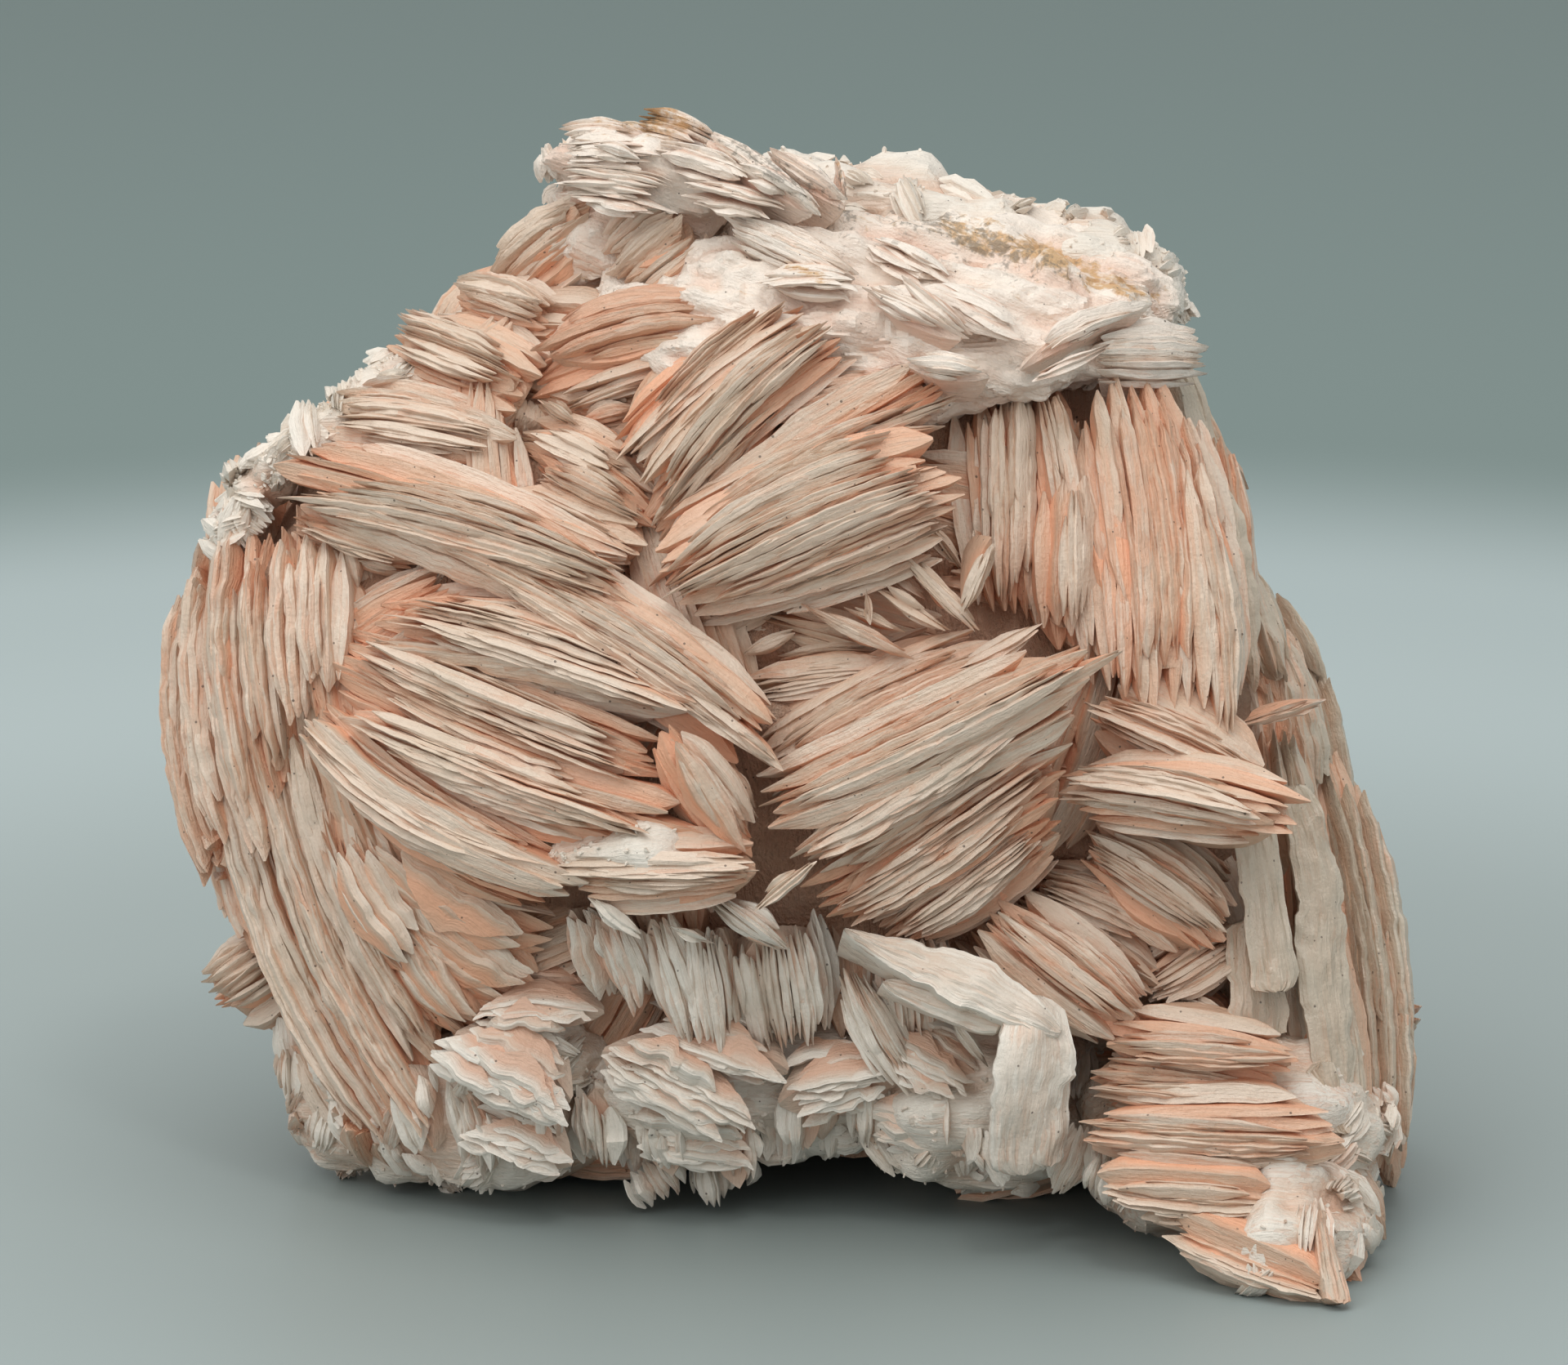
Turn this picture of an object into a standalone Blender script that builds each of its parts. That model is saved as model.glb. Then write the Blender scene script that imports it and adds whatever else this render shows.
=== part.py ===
# Barite crystal cluster: packets of thin tabular blades that cross each other and grow
# from one mass. Every blade is a flat-faced crystal, and all of them are fused in one solid.
import math
import random

import bmesh
import bpy
from mathutils import Matrix, Vector

# Driving dimensions. Lengths are in millimetres until a mesh is made.
MM = 0.001
FACE_LEAN = math.radians(15.0)      # how far the bladed face leans back from upright
CENTRE_SHIFT = (-0.8, -11.6, 0.0)   # brings the middle of the base to the origin
BACK_PLANE = 42.0                   # how far behind the base line the back stands
HEART_SPREAD = 0.6                  # the blades' roots aim at a flattened heart inside
HEART_LOW, HEART_HIGH = 25.0, 65.0
HEART_OUT, HEART_OUT_BEHIND = -22.0, -8.0
VALLEY_DEPTH = 4.6                  # depth below the crests at which neighbouring blades meet
ROOT_IN_CORE = 4.5                  # how far a blade's root reaches into the core
ROOT_RANGE = (8.0, 22.0)
CREST_RISE = 0.05                   # arch of a crest over its length
CREST_SINK = 0.6                    # share of the arch by which the crest's ends lie lower
CREST_WANDER = 0.5                  # how far one blade stands above or below the next
PACKET_ROUNDING = 0.8               # how much lower the outer blades of a packet lie
RAGGED = 0.10                       # how unevenly the blades of one packet end
OUTER_SHORT = 0.10                  # how much shorter the outer blades are at a pointed end
CREST_STOPS = (0.0, 0.26, 0.74, 1.0)
SHORT_STOPS = (0.0, 0.5, 1.0)       # a short blade is a plain diamond
SHORT_BLADE = 15.0
FLAT_ANGLE = math.radians(2.0)      # faces that meet this flatly are made one
SEED = 7

# Each level of the body: height up the face, left and right edge, depth of the core in front
LEVELS = (
    (6.0, -37.0, 54.0, -8.0),
    (14.0, -43.0, 55.5, -3.0),
    (22.0, -48.0, 54.0, 3.0),
    (32.0, -50.5, 51.5, 8.0),
    (44.0, -52.5, 48.0, 10.0),
    (56.0, -53.0, 43.5, 9.0),
    (66.0, -47.0, 39.0, 6.5),
    (74.0, -38.5, 37.5, 4.0),
    (82.0, -29.5, 33.0, -3.0),
    (89.0, -20.0, 22.0, -7.0),
)
SIDE_OUT = -9.0                     # depth at which the body is widest
CORE_INSET = 4.5                    # the core's edge lies this far inside the silhouette
CORE_BACK_INSET = 8.5
CORE_SIDES = 14
CORE_SQUARENESS = 0.72

# Rounded masses under the packets: centre (across, up, out), half sizes, tilt in degrees, fineness
MASSES = (
    ("cap", (8.5, 80.0, 0.5), (25.0, 12.5, 7.5), -51.0, 2),
    ("cap_lobe", (-11.0, 91.5, -1.5), (8.5, 4.5, 6.5), 0.0, 2),
    ("lower_left", (-27.0, 11.0, -5.0), (12.0, 8.5, 9.0), 0.0, 2),
    ("bottom_middle", (0.0, 14.0, -4.0), (19.0, 7.0, 8.0), 0.0, 2),
    ("bottom_right", (17.0, 12.0, 0.0), (11.0, 9.0, 9.0), 0.0, 1),
    ("right_rows", (39.0, 8.0, 5.0), (13.5, 10.5, 9.5), 0.0, 1),
    ("foot", (43.5, -0.5, 14.0), (7.0, 6.0, 8.5), 20.0, 2),
    ("ridge", (15.0, 44.0, 12.0), (15.0, 6.5, 7.0), 0.0, 1),
    ("left_ledge", (-26.0, 38.0, 8.0), (15.0, 8.0, 6.0), 0.0, 1),
    ("left_foot", (-37.5, 12.0, -12.0), (6.5, 8.0, 6.0), 0.0, 1),
    ("rear_foot_left", (-16.0, 14.0, -30.0), (19.0, 11.0, 8.5), 15.0, 1),
    ("rear_foot_right", (21.0, 15.0, -28.0), (18.0, 12.0, 9.5), 15.0, 1),
)

# A packet: tail (across, up, out), head, width, bow, how full tail and head are, blades
PACKETS = (
    # The pale cap at the top and its left lobe
    ("cap_lobe_top", (-21.0, 95.5, 2), (-4.0, 94.0, 5), 6.0, 0.5, (0.6, 0.5), 2),
    ("cap_lobe_low", (-21.8, 92.0, 5), (0.0, 89.5, 8), 5.0, 0.5, (0.5, 0.3), 2),
    ("cap_edge_blade_1", (-8.5, 97.0, 4), (4.5, 87.8, 10), 2.5, 0.0, (0.2, 0.1), 2),
    ("cap_edge_blade_2", (-2.5, 95.3, 1), (6.6, 89.0, 8), 2.2, 0.0, (0.2, 0.1), 1),
    ("cap_slope_upper", (6.5, 92.0, -4), (28.0, 86.5, -5), 6.0, 0.5, (0.7, 0.5), 2),
    ("cap_slope_middle", (6.0, 88.0, 3), (30.0, 81.0, 4), 6.0, 0.5, (0.6, 0.5), 2),
    ("cap_slope_lower", (5.0, 84.0, 10), (21.0, 77.0, 14), 6.0, 0.5, (0.6, 0.3), 2),
    ("cap_right_dome", (19.0, 88.5, -6), (34.0, 82.0, -7), 5.0, 1.0, (0.6, 0.6), 2),
    ("cap_petal", (-3.4, 82.4, 10), (8.0, 81.5, 12), 2.5, 0.0, (0.1, 0.3), 1),
    ("cap_underside", (-6.0, 89.0, 6), (8.0, 82.5, 11), 5.0, 0.0, (0.5, 0.4), 2),
    ("cap_bottom_lens", (9.0, 75.6, 14), (18.8, 74.3, 17), 2.5, 0.0, (0.3, 0.3), 1),
    ("cap_right_blade", (19.2, 73.3, 17), (35.0, 81.0, 6), 2.4, 1.7, (0.1, 0.3), 2),
    ("cap_right_lens", (26.0, 77.0, 11), (38.6, 76.8, 2), 7.0, 0.0, (0.5, 0.8), 3),
    # Upper left
    ("shoulder_mass", (-27.0, 83.5, -3), (-17.5, 90.5, 1), 5.0, 0.5, (0.6, 0.6), 2),
    ("shoulder_small", (-30.5, 82.5, -3), (-20.5, 80.5, 3), 4.0, 0.5, (0.4, 0.3), 2),
    ("under_cap_diagonal", (-16.5, 84.3, 2), (-9.5, 90.0, 4), 8.5, 0.0, (0.9, 0.8), 2),
    ("upright_sticks", (-5.0, 87.3, 3), (-5.0, 79.0, 5), 6.5, 0.0, (0.9, 0.8), 2),
    ("upper_fan", (-23.5, 75.5, 6), (-4.5, 80.0, 9), 8.0, 1.5, (0.2, 0.9), 3),
    ("fan_low", (-21.0, 70.8, 5), (-8.0, 74.3, 6), 3.5, 0.8, (0.3, 0.5), 1),
    ("upper_left_lens", (-36.0, 79.0, -2), (-22.3, 73.2, 9), 8.0, 0.0, (0.9, 0.15), 3),
    ("ladder", (-25.8, 74.0, 4), (-27.2, 70.8, 4), 10.0, 0.0, (0.9, 0.9), 2),
    ("ladder_blade", (-22.0, 72.8, 7), (-17.2, 69.3, 8), 1.8, 0.0, (0.3, 0.2), 1),
    ("left_upper_lens", (-42.0, 71.0, 1), (-23.8, 67.9, 10), 6.0, 0.7, (0.6, 0.35), 2),
    ("left_mid_top", (-44.5, 67.5, 2), (-25.0, 63.5, 9), 4.0, 0.0, (0.4, 0.3), 2),
    ("crossing_1", (-24.0, 69.7, 7), (-14.2, 65.3, 11), 3.2, 0.6, (0.3, 0.7), 2),
    ("crossing_2", (-23.0, 67.0, 9), (-11.7, 61.3, 13), 4.5, 0.0, (0.3, 0.3), 2),
    ("crossing_3", (-25.5, 64.2, 9), (-12.0, 58.0, 14), 4.2, 0.0, (0.3, 0.2), 2),
    ("left_crust_edge", (-50.0, 62.0, -4), (-41.0, 71.0, 1), 3.0, 0.5, (0.6, 0.7), 1),
    # Centre
    ("centre_rise_outer", (-14.8, 66.0, 12), (2.5, 82.0, 13), 3.5, 1.5, (0.2, 0.5), 2),
    ("centre_rise_inner", (-12.0, 62.0, 14), (5.2, 79.5, 15), 4.0, 1.5, (0.2, 0.9), 2),
    ("centre_rise_thin", (-12.5, 59.5, 12), (0.7, 73.6, 13), 4.0, 0.5, (0.2, 0.5), 1),
    ("centre_upper_back", (-4.0, 74.5, 9), (9.0, 78.5, 10), 4.0, 0.5, (0.4, 0.5), 1),
    ("centre_upper_lens", (-3.0, 70.0, 12), (13.8, 73.6, 12), 4.0, 1.0, (0.2, 0.3), 2),
    ("centre_big_lens", (-11.7, 54.3, 16), (15.5, 67.0, 19), 11.5, 1.0, (0.1, 0.9), 4),
    ("centre_big_upper", (-13.7, 56.3, 14), (17.0, 73.0, 15), 4.5, 1.5, (0.2, 0.2), 2),
    ("centre_shade_lens", (-8.0, 51.0, 10), (1.5, 55.0, 10), 3.0, 0.0, (0.3, 0.3), 1),
    ("cross_1", (0.3, 54.5, 11), (12.6, 49.0, 13), 1.6, 0.0, (0.1, 0.1), 1),
    ("cross_2", (7.5, 54.8, 12), (18.7, 50.0, 16), 2.0, 0.0, (0.1, 0.1), 1),
    ("cross_3", (10.8, 59.6, 12), (14.9, 52.7, 14), 1.8, 0.0, (0.1, 0.1), 1),
    ("standout", (14.8, 53.8, 15), (18.0, 60.3, 19), 1.9, 0.0, (0.2, 0.1), 1),
    ("centre_small_lens", (-4.5, 46.5, 10), (10.5, 49.0, 13), 5.5, 0.5, (0.6, 0.4), 2),
    ("left_long_ridge", (-46.8, 63.9, 5), (-11.0, 54.6, 18), 6.5, 2.0, (0.2, 0.3), 3),
    ("centre_diagonal", (-29.0, 58.8, 13), (-0.3, 41.0, 19), 6.5, 1.2, (0.3, 0.25), 3),
    ("sticks_mid", (-29.0, 60.0, 6), (-32.5, 54.0, 6), 4.5, 0.0, (0.8, 0.7), 2),
    ("sticks_mid_left", (-39.5, 60.0, 5), (-37.5, 54.0, 5), 3.5, 0.0, (0.8, 0.7), 2),
    ("centre_left_lens", (-38.6, 54.2, 10), (-6.0, 44.1, 20), 6.5, 1.8, (0.15, 0.15), 3),
    ("left_fan", (-41.3, 51.5, 9), (-9.5, 38.3, 19), 8.5, -0.5, (0.25, 0.5), 3),
    ("lower_left_ridge", (-42.0, 46.5, 10), (-8.0, 33.3, 20), 6.0, -0.7, (0.2, 0.3), 2),
    ("lower_left_front", (-44.7, 46.5, 9), (-17.0, 31.0, 18), 6.0, -3.0, (0.2, 0.4), 2),
    ("lower_ridge", (-21.0, 31.5, 17), (-0.3, 30.8, 20), 4.0, 0.0, (0.6, 0.1), 2),
    ("standing_plate_1", (-2.4, 31.8, 18), (-10.2, 43.7, 21), 2.2, 0.0, (0.1, 0.1), 1),
    ("standing_plate_2", (-1.8, 35.0, 15), (-6.0, 41.2, 17), 2.0, 0.0, (0.1, 0.1), 1),
    ("ridge_back", (-3.0, 38.5, 13), (20.5, 50.5, 15), 8.0, 0.5, (0.3, 0.4), 3),
    ("right_centre_ridge", (-3.5, 35.0, 17), (28.4, 51.0, 26), 6.0, -0.8, (0.3, 0.1), 2),
    ("right_centre_second", (-1.0, 31.5, 17), (25.0, 47.4, 23), 5.0, -0.5, (0.3, 0.2), 2),
    ("lower_centre_lens", (2.0, 26.5, 14), (25.0, 42.0, 21), 10.0, 0.0, (0.6, 0.5), 3),
    ("lower_centre_small", (8.0, 24.5, 13), (23.0, 35.0, 17), 5.0, 0.0, (0.5, 0.4), 1),
    ("spear", (-3.8, 26.8, 20), (3.5, 33.1, 21), 1.8, 0.0, (0.1, 0.2), 1),
    # Right
    ("uprights_fine", (20.0, 74.5, 8), (19.8, 53.0, 12), 6.5, 0.0, (0.8, 0.7), 3),
    ("uprights_inner", (23.5, 74.0, 10), (27.0, 48.0, 14), 4.0, 0.0, (0.8, 0.5), 2),
    ("spear_upright", (25.2, 50.5, 15), (25.5, 66.7, 13), 3.0, 0.0, (0.8, 0.0), 1),
    ("right_uprights", (31.0, 76.0, 12), (34.0, 44.5, 18), 12.0, 1.2, (0.65, 0.9), 4),
    ("right_edge_plate", (36.0, 66.7, 14), (39.0, 41.5, 17), 3.6, 1.0, (0.2, 0.4), 1),
    ("wall_a", (37.5, 70.5, 5), (41.5, 45.5, 8), 3.5, 0.0, (0.6, 0.6), 2),
    ("wall_b", (39.5, 62.0, -3), (45.0, 46.0, 2), 4.5, 0.0, (0.6, 0.6), 2),
    ("wall_c", (43.0, 57.0, -10), (48.5, 48.0, -8), 4.0, 0.0, (0.4, 0.6), 1),
    ("wall_d", (46.5, 52.0, -10), (51.0, 33.0, -8), 5.0, 0.0, (0.5, 0.6), 2),
    ("side_plate", (39.4, 43.5, 12), (49.4, 46.6, 2), 1.5, 0.0, (0.3, 0.3), 1),
    ("falling_upper", (24.5, 46.3, 16), (42.5, 38.3, 18), 5.0, 0.8, (0.3, 0.2), 2),
    ("falling_bright", (22.3, 39.0, 17), (44.8, 34.4, 25), 4.5, 1.2, (0.7, 0.05), 2),
    ("kink_top", (25.0, 34.8, 12), (39.6, 25.2, 14), 6.5, 0.8, (0.5, 0.4), 2),
    ("kink_middle", (20.5, 31.0, 9), (34.6, 24.4, 10), 4.5, 0.8, (0.5, 0.4), 1),
    ("kink_low", (19.5, 29.0, 9), (33.2, 21.3, 11), 4.0, 0.0, (0.5, 0.4), 2),
    ("kink_front", (16.3, 29.5, 14), (32.8, 16.7, 16), 6.0, 0.0, (0.3, 0.5), 3),
    ("crossing_right", (31.5, 19.3, 10), (41.0, 26.0, 9), 5.0, 0.0, (0.7, 0.5), 2),
    ("row_1", (24.5, 15.9, 16), (46.7, 14.7, 17), 3.4, 0.0, (0.6, 0.2), 2),
    ("row_2", (24.5, 11.8, 15), (43.6, 10.6, 16), 4.2, 0.0, (0.7, 0.4), 2),
    ("row_3", (24.5, 8.0, 17), (49.6, 6.9, 19), 4.5, 0.0, (0.7, 0.2), 2),
    ("row_4", (25.0, 4.8, 17), (51.5, 6.0, 17), 2.2, 0.0, (0.7, 0.2), 1),
    ("row_5", (26.0, 3.0, 18), (44.0, 2.0, 20), 3.5, 0.0, (0.6, 0.4), 2),
    ("foot_band", (31.0, -0.3, 18), (47.6, -6.4, 25.4), 3.0, 0.0, (0.3, 0.1), 2),
    ("foot_edge", (45.5, 1.5, 19), (48.0, -6.3, 24.5), 2.2, 0.0, (0.8, 0.3), 1),
    ("foot_side", (47.0, 4.0, 12), (51.0, -2.2, 10), 4.0, 0.0, (0.7, 0.5), 2),
    ("right_plate_1", (41.0, 36.0, 10), (44.3, 20.0, 11), 4.0, 0.0, (0.4, 0.6), 2),
    ("right_plate_2", (40.5, 26.0, 8), (44.0, 16.0, 8), 4.0, 0.0, (0.6, 0.5), 1),
    ("right_plate_3", (45.0, 38.0, 7), (49.8, 12.0, 8), 4.5, 0.0, (0.4, 0.6), 2),
    ("right_wall_low", (49.0, 44.0, -4), (55.0, 2.0, 3), 8.0, 1.2, (0.5, 0.8), 3),
    # Left wall
    ("wall_blades_1", (-41.5, 62.0, 5), (-40.5, 47.5, 9), 4.5, 0.0, (0.7, 0.6), 2),
    ("wall_blades_2", (-45.5, 62.5, 3), (-43.5, 45.5, 8), 5.0, 0.0, (0.7, 0.7), 2),
    ("wall_blades_3", (-49.7, 62.0, -1), (-48.0, 45.0, 3), 4.5, 0.0, (0.7, 0.8), 2),
    ("wall_blades_4", (-54.0, 58.0, -8), (-53.5, 42.0, -6), 4.0, 0.8, (0.5, 0.8), 2),
    ("wall_blades_low", (-53.0, 45.0, -10), (-49.0, 24.0, -10), 4.5, 0.5, (0.6, 0.6), 2),
    ("sweep_1", (-51.5, 41.0, -3), (-33.0, 8.0, 0), 5.0, -2.0, (0.6, 0.6), 2),
    ("sweep_2", (-47.5, 46.0, 1), (-30.0, 6.5, 3), 5.0, -2.0, (0.5, 0.6), 2),
    ("sweep_3", (-44.0, 43.0, 4), (-30.0, 13.5, 4), 6.5, -1.5, (0.5, 0.6), 2),
    ("shell_1", (-39.2, 36.3, 8), (-30.4, 22.0, 9), 4.0, -1.0, (0.5, 0.5), 2),
    ("shell_2", (-36.0, 33.5, 9), (-21.5, 22.3, 8), 6.0, -1.0, (0.5, 0.5), 2),
    ("shell_3", (-34.0, 27.5, 7), (-25.0, 17.0, 6), 5.0, -0.5, (0.5, 0.5), 2),
    ("shell_4", (-38.0, 38.5, 10), (-24.0, 29.0, 13), 3.0, 0.0, (0.3, 0.3), 1),
    ("left_knob", (-45.0, 25.0, -9), (-51.7, 20.5, -10), 6.0, 0.0, (0.6, 0.8), 2),
    ("left_foot", (-45.0, 16.0, -9), (-37.3, 4.0, -9), 5.0, 0.5, (0.6, 0.6), 2),
    # Bottom
    ("crust_shelf", (-27.8, 13.5, 6), (-10.0, 15.5, 4), 7.5, -1.0, (0.5, 0.5), 2),
    ("crust_front", (-15.0, 12.0, 6), (0.0, 9.0, 3), 6.5, -1.0, (0.6, 0.5), 2),
    ("bottom_tip_left", (-27.5, 10.0, -1), (-24.6, 0.8, -3.5), 4.5, 0.0, (0.8, 0.2), 2),
    ("bottom_tip_mid", (-6.5, 8.0, 0), (-3.4, -0.3, -2), 5.0, 0.0, (0.9, 0.3), 2),
    ("bottom_edge_left", (-20.0, 9.0, 0), (-16.5, 4.0, 0), 9.0, 0.0, (0.9, 0.8), 1),
    ("hanging_blades", (-11.0, 28.0, 12), (-7.0, 13.0, 6), 12.0, 0.0, (0.9, 0.6), 4),
    ("hanging_plate", (-19.0, 28.5, 11), (-16.0, 18.5, 6), 3.5, 0.0, (0.8, 0.5), 1),
    ("fringe_lens", (-7.0, 29.6, 14), (1.7, 23.5, 14), 3.2, 0.0, (0.3, 0.2), 1),
    ("fringe_spike", (-17.0, 29.0, 16), (-11.5, 24.6, 15), 1.8, 0.0, (0.3, 0.1), 1),
    ("lower_right_lens", (5.0, 24.0, 10), (13.0, 9.6, 8), 4.8, -0.5, (0.4, 0.2), 2),
    ("shell_left_lens", (7.5, 23.5, 13), (19.0, 19.0, 14), 3.0, 0.5, (0.3, 0.3), 1),
    ("pale_shell_1", (8.0, 24.5, 15), (24.5, 16.0, 17), 4.0, 2.5, (0.3, 0.6), 1),
    ("pale_shell_2", (22.0, 21.5, 16), (23.5, 5.5, 13), 5.0, 1.5, (0.5, 0.6), 2),
    ("pale_shell_3", (18.0, 18.5, 13), (17.5, 7.0, 9), 4.0, 0.0, (0.5, 0.6), 2),
)

# The walls that the front doesn't show: rings of packets round the body from left to right
RING_LEVELS = (14.0, 32.0, 50.0, 67.0, 82.0)
RING_START, RING_END = math.radians(192.0), math.radians(348.0)
RING_STEP = 25.0                    # distance between packets along a ring
RING_LENGTH = (24.0, 33.0)
RING_WIDTH = (6.0, 8.5)
RING_BLADES = 2
RING_DEPTH = 13.0
RING_RISE = 0.16                    # arch of their crests, which follow the round of the body
RING_INSET = (1.5, 3.0)             # how far in they lie at the sides and at the back
RING_STRAY = 3.0                    # how far they stray from their level

# The surface that the cluster rests on, which cuts its underside flat
TABLE_SPAN = (-90.0, 90.0)
TABLE_HEIGHT = (-30.0, 0.0)


def to_row(point):
    """A point given across, up and out from the leaning face, in upright metres."""
    across, up, out = point
    back = up * math.sin(FACE_LEAN) - out * math.cos(FACE_LEAN)
    high = up * math.cos(FACE_LEAN) + out * math.sin(FACE_LEAN)
    return Vector((across, back, high)) * MM + Vector(CENTRE_SHIFT) * MM


def lerp(a, b, t):
    return a + (b - a) * t


def level_at(up):
    """Left edge, right edge and front depth of the body at a height up the face."""
    for low, high in zip(LEVELS, LEVELS[1:]):
        if up <= high[0] or high is LEVELS[-1]:
            t = min(max((up - low[0]) / (high[0] - low[0]), 0.0), 1.0)
            return [lerp(a, b, t) for a, b in zip(low[1:], high[1:])]


def back_out(up):
    """Depth of the back at a height up the face: the back stands upright."""
    return (up * math.sin(FACE_LEAN) - BACK_PLANE) / math.cos(FACE_LEAN)


def squared(value):
    return math.copysign(abs(value) ** CORE_SQUARENESS, value)


def ring_point(up, angle, inset, back_inset):
    """A point on the body's outline at one height. A quarter turn points out of the face."""
    left, right, front = level_at(up)
    half = (right - left) / 2.0 - inset
    across = (left + right) / 2.0 + half * squared(math.cos(angle))
    reach = front - SIDE_OUT if math.sin(angle) > 0 else SIDE_OUT - back_out(up) - back_inset
    return Vector((across, up, SIDE_OUT + reach * squared(math.sin(angle))))


def core_front(across, up):
    """Depth of the core's front under a place on the face."""
    left, right, front = level_at(up)
    half = (right - left) / 2.0 - CORE_INSET
    part = min(abs(across - (left + right) / 2.0) / half, 1.0)
    rise = (1.0 - part ** (2.0 / CORE_SQUARENESS)) ** (CORE_SQUARENESS / 2.0)
    return SIDE_OUT + (front - SIDE_OUT) * rise


def outward(point):
    """Direction from the heart of the cluster to a point."""
    heart_up = min(max(point[1], HEART_LOW), HEART_HIGH)
    heart_out = HEART_OUT if point[2] > SIDE_OUT - 2.0 else HEART_OUT_BEHIND
    heart = Vector((point[0] * HEART_SPREAD, heart_up, heart_out))
    return (Vector(point) - heart).normalized()


def new_object(name, points, faces, helpers):
    mesh = bpy.data.meshes.new(name)
    mesh.from_pydata([to_row(p) for p in points], [], faces)
    bm = bmesh.new()
    bm.from_mesh(mesh)
    bmesh.ops.recalc_face_normals(bm, faces=bm.faces)
    bm.to_mesh(mesh)
    bm.free()
    obj = bpy.data.objects.new(name, mesh)
    helpers.objects.link(obj)
    obj.hide_render = True
    obj.display_type = "WIRE"
    return obj


def add_blade(name, crest, thickness, root, helpers):
    """One tabular crystal. Its crest runs through the given points and its root goes inwards."""
    normal = outward(crest[len(crest) // 2])
    along = (crest[-1] - crest[0]).normalized()
    side = along.cross(normal).normalized()
    inward = -normal
    points = [crest[0]]
    for place in crest[1:-1]:
        half = side * thickness / 2.0 * root / VALLEY_DEPTH
        foot = place + inward * root
        points += [place, foot + half, foot - half]
    points.append(crest[-1])
    sections = len(crest) - 2
    last = len(points) - 1
    faces = []
    for k in range(3):
        following = (k + 1) % 3
        faces.append((0, 1 + following, 1 + k))
        for row in range(sections - 1):
            here = 1 + row * 3
            faces.append((here + k, here + following, here + 3 + following, here + 3 + k))
        end = 1 + (sections - 1) * 3
        faces.append((last, end + k, end + following))
    return new_object(name, points, faces, helpers)


def packet_width(t, fullness):
    """Width of a packet along its length, as a share of the widest."""
    tail, head = fullness
    swell = math.sin(math.pi * t)
    return lerp(tail, head, t) + (1.0 - lerp(tail, head, t)) * swell


def add_packet(packet, rng, helpers, rise_share=CREST_RISE, root=None):
    """A stack of blades side by side between a tail and a head."""
    name, tail, head, width, bow, fullness, blades = packet
    tail, head = Vector(tail), Vector(head)
    normal = outward((tail + head) / 2.0)
    along = (head - tail).normalized()
    side = along.cross(normal).normalized()
    length = (head - tail).length
    for i in range(blades):
        place = (i + 0.5) / blades * 2.0 - 1.0
        start = RAGGED * rng.random() + OUTER_SHORT * abs(place) * (1.0 - fullness[0])
        end = 1.0 - RAGGED * rng.random() - OUTER_SHORT * abs(place) * (1.0 - fullness[1])
        if blades == 1:
            start, end = 0.0, 1.0
        lift = rng.uniform(-CREST_WANDER, CREST_WANDER) - PACKET_ROUNDING * place * place
        crest = []
        for part in SHORT_STOPS if length < SHORT_BLADE else CREST_STOPS:
            t = lerp(start, end, part)
            shift = place * width / 2.0 * packet_width(t, fullness) * (blades > 1)
            arch = 4.0 * t * (1.0 - t)
            rise = lift + rise_share * length * (4.0 * part * (1.0 - part) - CREST_SINK)
            point = tail.lerp(head, t) - side * (shift + bow * arch) + normal * rise
            crest.append(point)
        middle = (crest[0] + crest[-1]) / 2.0
        if root is None:
            below = (middle.z - core_front(middle.x, middle.y)) / max(normal.z, 0.5)
            depth = min(max(below + ROOT_IN_CORE, ROOT_RANGE[0]), ROOT_RANGE[1])
        else:
            depth = root
        thickness = width / blades
        add_blade(f"{name}_{i}", crest, thickness, depth, helpers)


def add_core(helpers):
    """The mass that the blades grow from, lofted through the levels."""
    points = []
    for level in LEVELS:
        for k in range(CORE_SIDES):
            angle = 2.0 * math.pi * (k + 0.5) / CORE_SIDES
            points.append(ring_point(level[0], angle, CORE_INSET, CORE_BACK_INSET))
    faces = []
    for row in range(len(LEVELS) - 1):
        for k in range(CORE_SIDES):
            a = row * CORE_SIDES + k
            b = row * CORE_SIDES + (k + 1) % CORE_SIDES
            faces.append((a, b, b + CORE_SIDES, a + CORE_SIDES))
    top = (len(LEVELS) - 1) * CORE_SIDES
    faces.append(tuple(reversed(range(CORE_SIDES))))
    faces.append(tuple(range(top, top + CORE_SIDES)))
    return new_object("core", points, faces, helpers)


def add_mass(name, centre, halves, tilt, fineness, rng, helpers):
    """A rough rounded lump."""
    bm = bmesh.new()
    bmesh.ops.create_icosphere(bm, subdivisions=fineness, radius=1.0)
    turn = Matrix.Rotation(math.radians(tilt), 3, "X")
    points = []
    for vert in bm.verts:
        rough = vert.co * rng.uniform(0.92, 1.05)
        scaled = Vector((rough.x * halves[0], rough.y * halves[1], rough.z * halves[2]))
        points.append(Vector(centre) + turn @ scaled)
    faces = [tuple(vert.index for vert in face.verts) for face in bm.faces]
    bm.free()
    return new_object(name, points, faces, helpers)


def add_box(name, across, back, up, helpers):
    """An upright box, given across, back and up."""
    points = [(x, y, z) for x in across for y in back for z in up]
    faces = [(0, 1, 3, 2), (4, 6, 7, 5), (0, 4, 5, 1), (2, 3, 7, 6), (0, 2, 6, 4), (1, 5, 7, 3)]
    obj = new_object(name, [(0.0, 0.0, 0.0)] * 8, faces, helpers)
    for vert, point in zip(obj.data.vertices, points):
        vert.co = Vector(point) * MM + Vector(CENTRE_SHIFT) * MM
    return obj


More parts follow.
